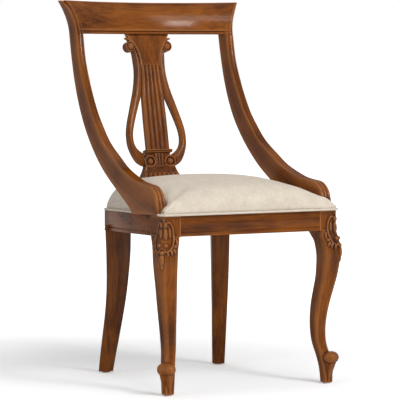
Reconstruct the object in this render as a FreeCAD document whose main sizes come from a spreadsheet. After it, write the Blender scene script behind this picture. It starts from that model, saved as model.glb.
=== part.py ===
import FreeCAD, Part
import os
from math import cos, degrees, radians, sin, sqrt, tan

# Lyre back dining chair. Millimetres, +Z up, the chair faces -Y, +X is at the right of someone
# who looks at its front. Left and right in the names are that person's too. The origin lies on
# the floor under the middle of the chair's box.

os.makedirs("parts", exist_ok=True)
doc = FreeCAD.newDocument("lyre_back_chair")

# Driving dimensions

dimensions = {
    "frameShift": (-36.3, "moves everything so that the box is centred in Y"),
    "glideHeight": (3, "thickness of the discs under the feet"),
    "glideRadius": (9, "radius of those discs"),
    "railBottom": (372, "lower edge of the seat frame at the front"),
    "railTop": (420, "upper edge of the seat frame at the front"),
    "railDrop": (12, "the seat frame falls towards the rear by this much"),
    "rearDeepening": (2, "the rails are this much higher at the rear"),
    "railThickness": (22, "thickness of the four rails"),
    "grooveHeight": (8, "from the lower edge of a rail to its groove"),
    "grooveWidth": (2, "height of the groove"),
    "grooveDepth": (1.5, "depth of the groove"),
    "frontFace": (234, "front face of the front rail, in front of the datum line"),
    "frontHalfWidth": (236, "half of the seat frame's width at the front"),
    "blockWidth": (46, "front leg block, along X"),
    "blockDepth": (66, "front leg block, along Y"),
    "rearFace": (204, "rear face of the rear rail, behind the datum line"),
    "rearHalfWidth": (169, "half of the seat frame's width at the rear"),
    "tenonLength": (16, "length of the rail tenons"),
    "tenonThickness": (9, "thickness of the rail tenons"),
    "tenonHeight": (32, "height of the rail tenons"),
    "legInset": (25, "middle of a front leg's curve, behind the front face"),
    "toeRadius": (13.5, "radius of the scroll toe"),
    "toeLength": (43, "length of the scroll toe"),
    "toeRounding": (9, "rounding of the scroll toe's ends"),
    "toeHeight": (63, "height of the scroll toe above the floor"),
    "toeOut": (15.4, "scroll toe, outwards from the middle of the front leg's curve"),
    "toeForward": (21.8, "scroll toe, forwards from there"),
    "rearLegX": (145.5, "rear leg at the seat frame, from the middle"),
    "rearLegY": (175.5, "rear leg at the seat frame, behind the datum line"),
    "rearLegTurn": (24, "the rear legs are turned outwards by this many degrees"),
    "stubRadius": (12, "round stub of the rear leg inside the seat frame"),
    "stubInset": (10, "the stub lies this far in front of the leg's middle"),
    "stubLength": (40, "length of that stub"),
    "stileInner": (204.5, "inner face of a stile at its upper end"),
    "stileSplay": (1.16, "the stiles spread towards the front by this many degrees"),
    "stileThickness": (21, "thickness of a stile"),
    "knuckleThickness": (26.5, "thickness of its lower end"),
    "stileBlank": (60, "thickness of the board that a stile is sawn from"),
    "stilePivot": (240, "where stileInner is measured, behind the datum line"),
    "flareRadius": (123, "the stile tips sweep outwards on this radius"),
    "crestBottom": (850, "lower edge of the crest rail"),
    "crestTip": (930, "height of the crest's ends, the chair's height"),
    "crestDip": (3.5, "the crest's upper edge is lower in the middle"),
    "crestRadius": (582, "bow of the crest's front face"),
    "crestFront": (287, "front of the crest in the middle, behind the datum line"),
    "crestThickness": (22, "thickness of the crest rail"),
    "crestSweep": (51, "angle that the crest's bow is turned through before its ends are cut"),
    "crestRoll": (32, "the crest's face rolls back over its height"),
    "crestTopThickness": (11, "thickness of the crest's upper edge"),
    "crestLip": (8, "strip of the stile that stays outside the crest's end"),
    "lyreLean": (12, "the lyre leans back by this many degrees"),
    "lyreFoot": (202.5, "front face of the lyre at the rail's top, behind the datum line"),
    "lyreThickness": (18, "thickness of the lyre's boards"),
    "collarHeight": (8.5, "height of the lyre's collar"),
    "collarHalfWidth": (37.5, "half of the collar's width"),
    "collarOverhang": (4, "the collar stands proud by this much"),
    "neckHalfWidth": (11.5, "half of the neck between the lower scrolls"),
    "waistLevel": (95, "top of the lyre's foot, along the leaning board"),
    "collarLevel": (129, "underside of the collar, along the leaning board"),
    "crestLevel": (440, "top of the plaque, along the leaning board"),
    "plaqueHalfWidth": (62, "half of the plaque's width inside the crest rail"),
    "tongueHalfWidth": (50, "half of the width of the plaque's tongue"),
    "tongueLength": (12, "tongue of the plaque in the crest rail"),
    "tongueThickness": (8, "thickness of that tongue"),
    "seatBoardThickness": (10, "plywood under the pad"),
    "coverThickness": (1.5, "cloth over the pad"),
    "seatOverhang": (4, "the seat stands over the frame's front and front corners"),
    "seatCrown": (87, "crown of the seat above the rails"),
    "weltRadius": (2.5, "radius of the welt"),
    "notchFront": (215, "front of the seat's notch for the stile, in front of the datum line"),
    "notchRear": (62, "rear of that notch, in front of the datum line"),
    "blockHeight": (36, "height of the corner blocks"),
    "blockReach": (58, "length of a corner block along its rails"),
    "screwRadius": (2, "shank of the wood screws"),
    "screwLength": (32, "length of the wood screws"),
    "dowelRadius": (5, "dowels under the stiles"),
    "dowelLength": (44, "length of those dowels"),
}

sheet = doc.addObject("Spreadsheet::Sheet", "Sizes")
for row, (alias, (value, note)) in enumerate(dimensions.items(), start=1):
    sheet.set(f"A{row}", alias)
    sheet.set(f"B{row}", str(value))
    sheet.set(f"C{row}", note)
    sheet.setAlias(f"B{row}", alias)
doc.recompute()


def size(alias):
    return float(getattr(sheet, alias))


# Helpers

def vec(x, y, z=0.0):
    return FreeCAD.Vector(x, y, z)


def make_body(name):
    body = doc.addObject("PartDesign::Body", name)
    body.Label = name
    body.setExpression("Placement.Base.y", "Sizes.frameShift")
    return body


def make_sketch(body, name, plane, offset=0.0):
    sketch = body.newObject("Sketcher::SketchObject", name)
    support = next(f for f in body.Origin.OriginFeatures if f.Role == plane)
    sketch.AttachmentSupport = [(support, "")]
    sketch.MapMode = "FlatFace"
    sketch.AttachmentOffset = FreeCAD.Placement(vec(0, 0, offset), FreeCAD.Rotation())
    return sketch


def add_polygon(sketch, points):
    corners = [vec(*point) for point in points]
    for start, end in zip(corners, corners[1:] + corners[:1]):
        sketch.addGeometry(Part.LineSegment(start, end), False)


def add_curve(sketch, points):
    curve = Part.BSplineCurve()
    curve.interpolate([vec(*point) for point in points])
    sketch.addGeometry(curve, False)


def add_arc(sketch, start, middle, end):
    sketch.addGeometry(Part.Arc(vec(*start), vec(*middle), vec(*end)), False)


def add_line(sketch, start, end):
    sketch.addGeometry(Part.LineSegment(vec(*start), vec(*end)), False)


def pad(body, sketch, length, reverse=False, both=False):
    feature = body.newObject("PartDesign::Pad", sketch.Name + "Pad")
    feature.Profile = sketch
    if isinstance(length, str):
        feature.setExpression("Length", length)
    else:
        feature.Length = length
    feature.Reversed = reverse
    feature.Midplane = both
    sketch.Visibility = False
    return feature


def cut_through(body, sketch):
    feature = body.newObject("PartDesign::Pocket", sketch.Name + "Cut")
    feature.Profile = sketch
    feature.Type = "ThroughAll"
    feature.Midplane = True
    return feature


def loft(body, sketches, straight=False):
    feature = body.newObject("PartDesign::AdditiveLoft", sketches[0].Name + "Loft")
    feature.Profile = sketches[0]
    feature.Sections = sketches[1:]
    feature.Ruled = straight
    return feature


def cut(name, base, tools):
    # The tools' own shapes make the mortises, rebates and notches, so each joint fits exactly.
    for index, tool in enumerate(tools):
        result = doc.addObject("Part::Cut", f"{name}_joint_{index}")
        result.Base = base
        result.Tool = tool
        base = result
    base.Label = name
    return base


def rounded_square(sketch, centre, width, depth, corner):
    cx, cy = centre
    hx, hy = width / 2, depth / 2
    bulge = corner * (1 - sqrt(0.5))
    for sx, sy in ((1, 1), (-1, 1), (-1, -1), (1, -1)):
        end_on_side = (cx + sx * hx, cy + sy * (hy - corner))
        middle = (cx + sx * (hx - bulge), cy + sy * (hy - bulge))
        end_on_top = (cx + sx * (hx - corner), cy + sy * hy)
        add_arc(sketch, end_on_side, middle, end_on_top)
    for sy in (1, -1):
        add_line(sketch, (cx - hx + corner, cy + sy * hy), (cx + hx - corner, cy + sy * hy))
    for sx in (1, -1):
        add_line(sketch, (cx + sx * hx, cy - hy + corner), (cx + sx * hx, cy + hy - corner))


nodes = {}
sides = {"left": -1, "right": 1}

# Seat frame: four rails with a groove above the lower edge, and a tenon at each end

rail_slope = (size("frontHalfWidth") - size("rearHalfWidth")) / (
    size("rearFace") + size("frontFace") - size("blockDepth"))
rail_skew = sqrt(1 + rail_slope ** 2)
front_y = -size("frontFace")
rear_y = size("rearFace")
block_rear = front_y + size("blockDepth")
fall = size("railDrop") / (rear_y - block_rear)
thick = size("railThickness")
groove_depth = size("grooveDepth")
tenon_long = size("tenonLength")
tenon_thick = size("tenonThickness")
front_end = size("frontHalfWidth") - size("blockWidth")


def side_line(y, inset=0.0):
    # Outer face of the side rail at this place, or a line parallel to it further in.
    return size("frontHalfWidth") - (y - block_rear) * rail_slope - inset * rail_skew


def seat_level(y):
    # Upper edge of the seat frame, which falls towards the rear behind the front legs.
    return size("railTop") - max(0.0, y - block_rear) * fall


def box_points(x0, x1, y0, y1):
    return [(x0, y0), (x1, y0), (x1, y1), (x0, y1)]


def rail_section(outer, inner, low, high):
    # Outline of a rail across its length, from the outer face, with the groove near its lower edge.
    groove = low + size("grooveHeight")
    groove_top = groove + size("grooveWidth")
    deep = outer + (groove_depth if inner > outer else -groove_depth)
    return [(outer, low), (outer, groove), (deep, groove), (deep, groove_top),
            (outer, groove_top), (outer, high), (inner, high), (inner, low)]


def make_cross_rail(name, half_length, outer, inner, low, high):
    body = make_body(name)
    sketch = make_sketch(body, name + "_section", "YZ_Plane")
    add_polygon(sketch, rail_section(outer, inner, low, high))
    pad(body, sketch, 2 * half_length, both=True)
    tenon = make_sketch(body, name + "_tenons", "YZ_Plane")
    middle = (outer + inner) / 2
    tenon_low = (low + high - size("tenonHeight")) / 2
    add_polygon(tenon, box_points(middle - tenon_thick / 2, middle + tenon_thick / 2,
                                  tenon_low, tenon_low + size("tenonHeight")))
    pad(body, tenon, 2 * (half_length + tenon_long), both=True)
    return body


front_rail = make_cross_rail("front_rail", front_end, front_y, front_y + thick,
                             size("railBottom"), size("railTop"))
nodes["front_rail"] = front_rail

rear_inner = rear_y - thick
rear_end = side_line(rear_inner, thick)
rear_top = size("railTop") - size("railDrop")
rear_bottom = size("railBottom") - size("railDrop") - size("rearDeepening")
rear_outer = side_line(rear_y, thick)
rear_rail = make_cross_rail("rear_rail", rear_outer, rear_y, rear_inner, rear_bottom, rear_top)

side_rails = {}
for side, sign in sides.items():
    body = make_body(f"{side}_side_rail_board")
    ends = []
    for place, y in (("front", block_rear), ("rear", rear_y)):
        sketch = make_sketch(body, f"{side}_side_rail_{place}", "XZ_Plane", -y)
        low = size("railBottom") if place == "front" else rear_bottom
        outer, inner = sign * side_line(y), sign * side_line(y, thick)
        add_polygon(sketch, rail_section(outer, inner, low, seat_level(y)))
        ends.append(sketch)
    loft(body, ends, straight=True)
    tenon = make_sketch(body, f"{side}_side_rail_tenon", "XZ_Plane", -block_rear + tenon_long)
    middle = sign * side_line(block_rear, thick / 2)
    low = size("railBottom") + size("grooveHeight")
    add_polygon(tenon, box_points(middle - tenon_thick / 2, middle + tenon_thick / 2,
                                  low, low + size("tenonHeight")))
    pad(body, tenon, tenon_long + 1, reverse=True)
    side_rails[side] = body

# The rear rail's shoulders follow the side rails, and its tenons go into them

for side in sides:
    side_rails[side] = cut(f"{side}_side_rail", side_rails[side], [rear_rail])
    nodes[f"{side}_side_rail"] = side_rails[side]
nodes["rear_rail"] = rear_rail

# Front legs: a block in the seat frame's corner, then the cabriole curve. Each line of the curve
# holds a height, the way outwards along X, the way forwards, the side of the square and the depth
# of the ear that joins it to the block at the rear.

cabriole = [(372, 2, 2, 49, 18), (357, 5.5, 5, 51.5, 8), (343, 8.5, 7, 51.5, 1.5), (314, 10.6, 10, 49, 0),
            (285, 9.2, 8.8, 45.9, 0), (257, 6.4, 6, 43, 0), (226, 2, 0, 40.5, 0), (198, -2, -5.3, 38, 0),
            (169, -5.1, -8.8, 35, 0), (140, -6.8, -9.8, 32, 0), (112, -6.6, -7.7, 29.8, 0), (93, -4.6, -4.2, 28.6, 0),
            (70, 0, 2.5, 28, 0), (45, 3.4, 8.5, 27, 0), (22, 4.8, 10.8, 25.5, 0), (3, 5.2, 11.4, 24, 0)]
corner_share = 0.22

# Web between the scroll toe and the foot: a height, the way outwards along the diagonal, its width
# across the diagonal and its depth along it

toe_web = [(8, 11, 17, 17), (19, 12.8, 22, 21), (32, 15.8, 28, 25), (45, 20.2, 32, 27), (57, 24.6, 34, 27)]
web_corner = 7
web_side = -4.4
block_x = size("frontHalfWidth") - size("blockWidth") / 2
block_y = front_y + size("legInset")

for side, sign in sides.items():
    name = f"front_{side}_leg"
    body = make_body(name + "_blank")
    sections = []
    for level, (height, out, forward, square, ear) in enumerate(cabriole):
        sketch = make_sketch(body, f"{name}_section_{level}", "XY_Plane", height)
        centre = (sign * (block_x + out), block_y - forward + ear / 2)
        rounded_square(sketch, centre, square, square + ear, corner_share * square)
        sections.append(sketch)
    loft(body, sections)
    block = make_sketch(body, name + "_block", "XY_Plane")
    block.setExpression("AttachmentOffset.Base.z", "Sizes.railBottom")
    inner, outer = sign * front_end, sign * size("frontHalfWidth")
    add_polygon(block, box_points(inner, outer, front_y, block_rear))
    pad(body, block, "Sizes.railTop - Sizes.railBottom")
    toe = doc.addObject("Part::Cylinder", name + "_toe_bar")
    toe.setExpression("Radius", "Sizes.toeRadius")
    toe.setExpression("Height", "Sizes.toeLength")
    along = FreeCAD.Vector(sign * sqrt(0.5), sqrt(0.5), 0)
    toe_y = block_y - size("toeForward") + size("frameShift")
    middle = vec(sign * (block_x + size("toeOut")), toe_y, size("toeHeight"))
    start = middle - along * (size("toeLength") / 2)
    toe.Placement = FreeCAD.Placement(start, FreeCAD.Rotation(vec(0, 0, 1), along))
    scroll = doc.addObject("Part::Fillet", name + "_toe")
    scroll.Base = toe
    scroll.Edges = [(edge, size("toeRounding"), size("toeRounding")) for edge in (1, 3)]
    web = make_body(name + "_web")
    web.setExpression("Placement.Base.x", f"{sign * block_x}")
    web.setExpression("Placement.Base.y", f"{block_y} + Sizes.frameShift")
    web.Placement.Rotation = FreeCAD.Rotation(vec(0, 0, 1), sign * 45)
    sections = []
    for level, (height, reach, width, depth) in enumerate(toe_web):
        sketch = make_sketch(web, f"{name}_web_{level}", "XY_Plane", height)
        rounded_square(sketch, (sign * web_side, -reach), width, depth, web_corner)
        sections.append(sketch)
    loft(web, sections)
    foot = doc.addObject("Part::Fuse", name + "_with_web")
    foot.Base = body
    foot.Tool = web
    leg = doc.addObject("Part::Fuse", name + "_with_toe")
    leg.Base = foot
    leg.Tool = scroll
    nodes[name] = cut(name, leg, [front_rail, side_rails[side]])

# Rear legs: sabre legs, turned outwards, under the corner of the seat frame. Each line holds a
# height, the way backwards along the turned leg, its width and its depth.

sabre = [(358, 0, 46, 48), (300, -0.5, 44, 45.5), (237, 2.5, 42, 39.5), (190, 7, 40, 35.8),
         (145, 14, 37.5, 33), (100, 22.5, 35.3, 30.8), (50, 32.2, 32.5, 28.3), (3, 40.5, 30, 26)]
sabre_corner = 5

for side, sign in sides.items():
    name = f"rear_{side}_leg"
    body = make_body(name)
    body.setExpression("Placement.Base.x", f"{sign} * Sizes.rearLegX")
    body.setExpression("Placement.Base.y", "Sizes.rearLegY + Sizes.frameShift")
    body.Placement.Rotation = FreeCAD.Rotation(vec(0, 0, 1), -sign * size("rearLegTurn"))
    sections = []
    for level, (height, back, width, depth) in enumerate(sabre):
        sketch = make_sketch(body, f"{name}_section_{level}", "XY_Plane", height)
        rounded_square(sketch, (0, back), width, depth, sabre_corner)
        sections.append(sketch)
    loft(body, sections)
    stub = make_sketch(body, name + "_stub", "XY_Plane")
    stub.setExpression("AttachmentOffset.Base.z", "Sizes.railBottom - Sizes.railDrop - Sizes.rearDeepening")
    circle = Part.Circle(vec(0, -size("stubInset")), vec(0, 0, 1), size("stubRadius"))
    stub.addGeometry(circle, False)
    pad(body, stub, "Sizes.stubLength")
    nodes[name] = body

# Crest rail: a section turned about the centre of its bow, then trimmed in front view

crest_low = size("crestBottom")
crest_tip = size("crestTip")
crest_high = crest_tip + 4
crest_y = size("crestFront")
crest_roll = size("crestRoll")
bow_centre = crest_y - size("crestRadius")
bead = 9
rise = crest_high - crest_low


def crest_face(height):
    # The face is upright at the bead and rolls back towards the top.
    share = (height - crest_low) / rise
    return (crest_y + crest_roll * (0.25 * share + 0.75 * share ** 3), height)


def bow_crest(name, forward=0.0):
    # The crest's section turned about the centre of its bow. The rebate's tool reaches forward too.
    body = make_body(name)
    section = make_sketch(body, name + "_section", "YZ_Plane")
    face_low = (crest_y, crest_low)
    face_top = crest_face(crest_high)
    if forward:
        front_low = (crest_y - forward, crest_low)
        front_top = (crest_y - forward, crest_high)
        add_line(section, face_low, front_low)
        add_line(section, front_low, front_top)
        add_line(section, front_top, face_top)
    else:
        bead_end = crest_face(crest_low + bead)
        groove_end = (bead_end[0] + 2, crest_low + bead + 1)
        rest = [crest_face(crest_low + share * rise) for share in (0.3, 0.6, 0.85, 1.0)]
        add_arc(section, face_low, (crest_y - 1.5, crest_low + bead / 2), bead_end)
        add_line(section, bead_end, groove_end)
        add_curve(section, [groove_end] + rest)
    back_top = (face_top[0] + size("crestTopThickness"), crest_high)
    back_low = (crest_y + size("crestThickness"), crest_low)
    add_line(section, face_top, back_top)
    add_line(section, back_top, back_low)
    add_line(section, back_low, face_low)
    axis = make_sketch(body, name + "_axis", "YZ_Plane")
    add_line(axis, (bow_centre, 0), (bow_centre, crest_high))
    turn = body.newObject("PartDesign::Revolution", name + "_bow")
    turn.Profile = section
    turn.ReferenceAxis = (axis, ["Edge1"])
    turn.setExpression("Angle", "Sizes.crestSweep")
    turn.Midplane = True
    return body


flare_radius = size("flareRadius")
stile_outer = size("stileInner") + size("stileThickness")
flare_centre = stile_outer + flare_radius


def flare(height, inset):
    # Front view of the stile's outward sweep, or of a line inside it.
    reach = sqrt((flare_radius + inset) ** 2 - (height - crest_low) ** 2)
    return flare_centre - reach


lip = size("crestLip")
tip_x = flare(crest_tip, lip)
mid_height = (crest_low + crest_tip) / 2
spare = 70


def trim_crest(body):
    # Front view: the ends follow the stiles' sweep, and the upper edge dips in the middle.
    waste = make_sketch(body, body.Name + "_waste", "XZ_Plane")
    end_x = flare(crest_low, lip)
    low = crest_low - 20
    high = crest_high + spare
    for sign in (-1, 1):
        add_line(waste, (sign * (tip_x + spare), low), (sign * end_x, low))
        add_line(waste, (sign * end_x, low), (sign * end_x, crest_low))
        add_arc(waste, (sign * end_x, crest_low),
                (sign * flare(mid_height, lip), mid_height), (sign * tip_x, crest_tip))
        add_line(waste, (sign * (tip_x + spare), low), (sign * (tip_x + spare), high))
    add_arc(waste, (-tip_x, crest_tip), (0, crest_tip - size("crestDip")), (tip_x, crest_tip))
    add_line(waste, (-tip_x - spare, high), (tip_x + spare, high))
    cut_through(body, waste)


crest = bow_crest("crest_rail_blank")
trim_crest(crest)
rebate = bow_crest("crest_rebate", forward=45)
trim_crest(rebate)

# Stiles: a board sawn to its profile in side view, then to its outward sweep in front view

stile_front = [(-150, 490), (-87, 499), (-18, 521), (30, 546), (88, 580), (131, 620), (165, 660),
               (202, 720), (230, 780), (244, 840), (255, 890), (262, 912), (274, 930)]
stile_back = [(294.5, 930), (298, 905), (295.5, 872), (287, 838), (275, 785), (258.8, 730),
              (233, 670), (200.5, 620), (165.5, 580), (121.5, 540), (71.3, 505), (32.5, 482.5),
              (-10.3, 460), (-46, 440), (-66, 427), (-72, 416.9)]
knuckle_top = (-176, 486)
knuckle_nose = (-202, 462)
knuckle_low = (-209, 436)
stile_toe = (-212, 420)
top_spare = 30
taper_end = 640

stiles = {}
for side, sign in sides.items():
    name = f"{side}_stile"
    body = make_body(name + "_board")
    splay = radians(size("stileSplay"))
    body.Placement.Base = vec(sign * (size("stileInner") + size("stilePivot") * tan(splay)), 0, 0)
    body.Placement.Rotation = FreeCAD.Rotation(vec(0, 0, 1), sign * size("stileSplay"))
    body.setExpression("Placement.Base.y", "Sizes.frameShift")
    profile = make_sketch(body, name + "_profile", "YZ_Plane")
    add_curve(profile, stile_front)
    add_line(profile, stile_front[-1], stile_back[0])
    add_curve(profile, stile_back)
    add_line(profile, stile_back[-1], (block_rear, size("railTop")))
    add_line(profile, (block_rear, size("railTop")), stile_toe)
    add_line(profile, stile_toe, knuckle_low)
    add_curve(profile, [knuckle_low, knuckle_nose, knuckle_top, stile_front[0]])
    pad(body, profile, "Sizes.stileBlank", reverse=sign < 0)
    doc.recompute()
    before = body.Shape.Volume
    sweep = make_sketch(body, name + "_sweep", "XZ_Plane")
    thickness = size("stileThickness")
    low = size("railTop") - 20
    local = size("stileInner")
    tip_high = crest_tip + top_spare
    outside = size("stileBlank") + 2
    for line, limit, foot in ((0.0, outside, size("knuckleThickness")), (thickness, -2.0, 0.0)):
        edge = [flare(height, line) - local for height in (crest_low, mid_height, crest_tip)]
        add_line(sweep, (sign * limit, low), (sign * foot, low))
        add_line(sweep, (sign * foot, low), (sign * foot, knuckle_nose[1]))
        add_line(sweep, (sign * foot, knuckle_nose[1]), (sign * edge[0], taper_end))
        add_line(sweep, (sign * edge[0], taper_end), (sign * edge[0], crest_low))
        add_arc(sweep, (sign * edge[0], crest_low), (sign * edge[1], mid_height),
                (sign * edge[2], crest_tip))
        add_line(sweep, (sign * edge[2], crest_tip), (sign * edge[2], tip_high))
        add_line(sweep, (sign * edge[2], tip_high), (sign * limit, tip_high))
        add_line(sweep, (sign * limit, tip_high), (sign * limit, low))
    cut_through(body, sweep)
    doc.recompute()
    assert body.Shape.Volume < before, name + ": the sweep cuts nothing"
    stiles[side] = cut(name, body, [rebate])
    nodes[name] = stiles[side]

# Lyre: boards that lean back together. Points are (from the middle, along the leaning board).

lyre_turn = FreeCAD.Rotation(vec(1, 0, 0), -size("lyreLean"))
lyre_thick = size("lyreThickness")
waist = size("waistLevel")
collar_low = size("collarLevel")
collar_high = collar_low + size("collarHeight")
plaque_top = size("crestLevel")
plaque_half = size("plaqueHalfWidth")
tongue_half = size("tongueHalfWidth")


def make_lyre_body(name):
    body = make_body(name)
    body.Placement.Rotation = lyre_turn
    body.setExpression("Placement.Base.y", "Sizes.lyreFoot + Sizes.frameShift")
    body.setExpression("Placement.Base.z", "Sizes.railTop")
    return body


plaque_edge = [(60, 432), (46.8, 422), (36, 407), (29.5, 388), (25.5, 368), (27, 327), (33, 276)]
strings_low = (33.5, collar_high)
loop_edge = [(33, 276), (41, 257.5), (50, 235), (59, 209.5), (65, 189), (67.5, 171), (65, 154),
             (57, 141), (46, 133), (39, collar_low)]
arm_outer = [(43, waist), (59, 103), (71, 121), (81.5, 150), (84, 177), (78.5, 204.5), (66, 245),
             (53.7, 286), (45.5, 327), (43.5, 350), (44.5, 372), (48, 392)]
top_scroll = [(48, 392), (70, 405), (63.5, 417)]
ear = (71, 425.5)
low_scroll_middle = (27.3, 110.4)
low_scroll_radius = 15

panel = make_lyre_body("lyre_panel_board")
face = make_sketch(panel, "panel_outline", "XZ_Plane")
for sign in (-1, 1):
    add_curve(face, [(sign * x, level) for x, level in plaque_edge])
    add_line(face, (sign * plaque_edge[-1][0], plaque_edge[-1][1]), (sign * strings_low[0], strings_low[1]))
    add_line(face, (sign * plaque_edge[0][0], plaque_edge[0][1]), (sign * plaque_half, plaque_top))
add_line(face, (-plaque_half, plaque_top), (plaque_half, plaque_top))
add_line(face, (-strings_low[0], strings_low[1]), strings_low)
pad(panel, face, "Sizes.lyreThickness", reverse=True)
tongue = make_sketch(panel, "panel_tongue", "XZ_Plane", -(lyre_thick - size("tongueThickness")) / 2)
tongue_top = plaque_top + size("tongueLength")
add_polygon(tongue, box_points(-tongue_half, tongue_half, plaque_top - 1, tongue_top))
pad(panel, tongue, "Sizes.tongueThickness", reverse=True)
nodes["lyre_panel"] = cut("lyre_panel", panel, [crest])

for side, sign in sides.items():
    name = f"lyre_arm_{side}"
    arm = make_lyre_body(name)
    line = make_sketch(arm, name + "_outline", "XZ_Plane")
    scroll_x, scroll_level = low_scroll_middle
    scroll_start = (scroll_x + 7, scroll_level + sqrt(low_scroll_radius ** 2 - 49))
    scroll_end = (scroll_x + 3, scroll_level - sqrt(low_scroll_radius ** 2 - 9))
    add_curve(line, [(sign * x, level) for x, level in plaque_edge])
    add_curve(line, [(sign * x, level) for x, level in loop_edge])
    add_line(line, (sign * loop_edge[-1][0], loop_edge[-1][1]), (sign * scroll_start[0], scroll_start[1]))
    add_arc(line, (sign * scroll_start[0], scroll_start[1]),
            (sign * (scroll_x - low_scroll_radius), scroll_level), (sign * scroll_end[0], scroll_end[1]))
    add_line(line, (sign * scroll_end[0], scroll_end[1]), (sign * arm_outer[0][0], arm_outer[0][1]))
    add_curve(line, [(sign * x, level) for x, level in arm_outer])
    add_arc(line, *[(sign * x, level) for x, level in top_scroll])
    add_line(line, (sign * top_scroll[-1][0], top_scroll[-1][1]), (sign * ear[0], ear[1]))
    add_line(line, (sign * ear[0], ear[1]), (sign * plaque_edge[0][0], plaque_edge[0][1]))
    pad(arm, line, "Sizes.lyreThickness", reverse=True)
    nodes[name] = arm

collar = make_lyre_body("lyre_collar")
strip = make_sketch(collar, "collar_outline", "XZ_Plane", size("collarOverhang"))
half = size("collarHalfWidth")
add_polygon(strip, box_points(-half, half, collar_low, collar_high))
pad(collar, strip, "Sizes.lyreThickness + 2 * Sizes.collarOverhang", reverse=True)
nodes["lyre_collar"] = collar

# Foot of the lyre: (height, half width, front, back), down to the top of the rear rail

lean = tan(radians(size("lyreLean")))
waist_height = size("railTop") + waist * cos(radians(size("lyreLean")))
waist_front = size("lyreFoot") + (waist_height - size("railTop")) * lean
foot_shape = [(waist_height, 43, waist_front, waist_front + lyre_thick), (499, 48.5, 217, 237.5),
              (484, 57.5, 210, 234), (455, 68, 196, 224), (426, 73, 186, 213), (rear_top, 74, 183, 210)]
base = make_body("lyre_base_foot")
sections = []
for level, (height, half, front, back) in enumerate(foot_shape):
    sketch = make_sketch(base, f"base_section_{level}", "XY_Plane", height)
    add_polygon(sketch, box_points(-half, half, front, back))
    sections.append(sketch)
loft(base, sections)
neck = make_lyre_body("lyre_base_neck")
neck_face = make_sketch(neck, "neck_outline", "XZ_Plane")
half = size("neckHalfWidth")
add_polygon(neck_face, box_points(-half, half, waist - 6, collar_low))
pad(neck, neck_face, "Sizes.lyreThickness", reverse=True)
lyre_base = doc.addObject("Part::Fuse", "lyre_base_whole")
lyre_base.Base = base
lyre_base.Tool = neck
nodes["lyre_base"] = cut("lyre_base", lyre_base, [nodes["lyre_arm_left"], nodes["lyre_arm_right"]])

# The crest rail gets its mortise from the plaque's tongue

tongue_box = doc.addObject("Part::Box", "crest_mortise")
tongue_box.setExpression("Length", "2 * Sizes.tongueHalfWidth")
tongue_box.setExpression("Width", "Sizes.tongueThickness")
tongue_box.setExpression("Height", "Sizes.tongueLength")
offset = lyre_turn.multVec(vec(-tongue_half, (lyre_thick - size("tongueThickness")) / 2, plaque_top))
tongue_box.Placement = FreeCAD.Placement(
    offset + vec(0, size("lyreFoot") + size("frameShift"), size("railTop")), lyre_turn)
nodes["crest_rail"] = cut("crest_rail", crest, [tongue_box])

# Corner blocks inside the seat frame

reach = size("blockReach")
front_inner = front_y + thick
block_tops = {"front": size("railTop") - 5, "rear": rear_top - 3}
for side, sign in sides.items():
    front_points = [(front_end, front_inner), (front_end - reach, front_inner),
                    (side_line(block_rear + 0.7 * reach, thick), block_rear + 0.7 * reach),
                    (side_line(block_rear, thick), block_rear), (front_end, block_rear)]
    rear_points = [(rear_end, rear_inner), (rear_end - reach, rear_inner),
                   (side_line(rear_inner - reach, thick), rear_inner - reach)]
    for place, points in (("front", front_points), ("rear", rear_points)):
        name = f"corner_block_{place}_{side}"
        body = make_body(name)
        sketch = make_sketch(body, name + "_plan", "XY_Plane", block_tops[place] - size("blockHeight"))
        add_polygon(sketch, [(sign * x, y) for x, y in points])
        pad(body, sketch, "Sizes.blockHeight")
        if place == "rear":
            body.Label = name + "_blank"
            nodes[name] = cut(name, body, [nodes[f"rear_{side}_leg"]])
        else:
            nodes[name] = body

# Seat: plywood board, pad and cover share one plan, notched for the stiles and for the lyre

seat_front = front_y - size("seatOverhang")
seat_half = size("frontHalfWidth") + size("seatOverhang")
lyre_notch = (76, 181)


def stile_inner(y):
    return size("stileInner") + (size("stilePivot") - y) * tan(radians(size("stileSplay")))


def seat_plan(inset):
    notch_front = -size("notchFront")
    notch_rear = -size("notchRear")
    half = [(seat_half - inset, seat_front + inset),
            (seat_half - inset, notch_front - inset),
            (stile_inner(notch_front) - 1 - inset, notch_front - inset),
            (stile_inner(notch_rear) - 1 - inset, notch_rear + inset),
            (side_line(notch_rear) - inset, notch_rear + inset),
            (side_line(rear_y) - inset, rear_y - inset),
            (lyre_notch[0] + inset, rear_y - inset),
            (lyre_notch[0] + inset, lyre_notch[1] - inset)]
    return half + [(-x, y) for x, y in reversed(half)]


seat_tilt = FreeCAD.Rotation(vec(1, 0, 0), -degrees(fall))
seat_origin = size("railTop") + block_rear * fall


def make_seat_body(name):
    # The seat's own levels count from the upper edges of the rails, which fall towards the rear.
    body = make_body(name)
    body.Placement.Base = vec(0, 0, seat_origin)
    body.Placement.Rotation = seat_tilt
    body.setExpression("Placement.Base.y", "Sizes.frameShift")
    return body


def crown_section(body, name, height, inset):
    sketch = make_sketch(body, name, "XY_Plane", height)
    front_x = seat_half + 2 - inset
    rear_x = size("rearHalfWidth") + 2 - inset
    add_polygon(sketch, [(-front_x, seat_front - 1 + inset), (front_x, seat_front - 1 + inset),
                         (rear_x, rear_y + 1 - inset), (-rear_x, rear_y + 1 - inset)])
    return sketch


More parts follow.
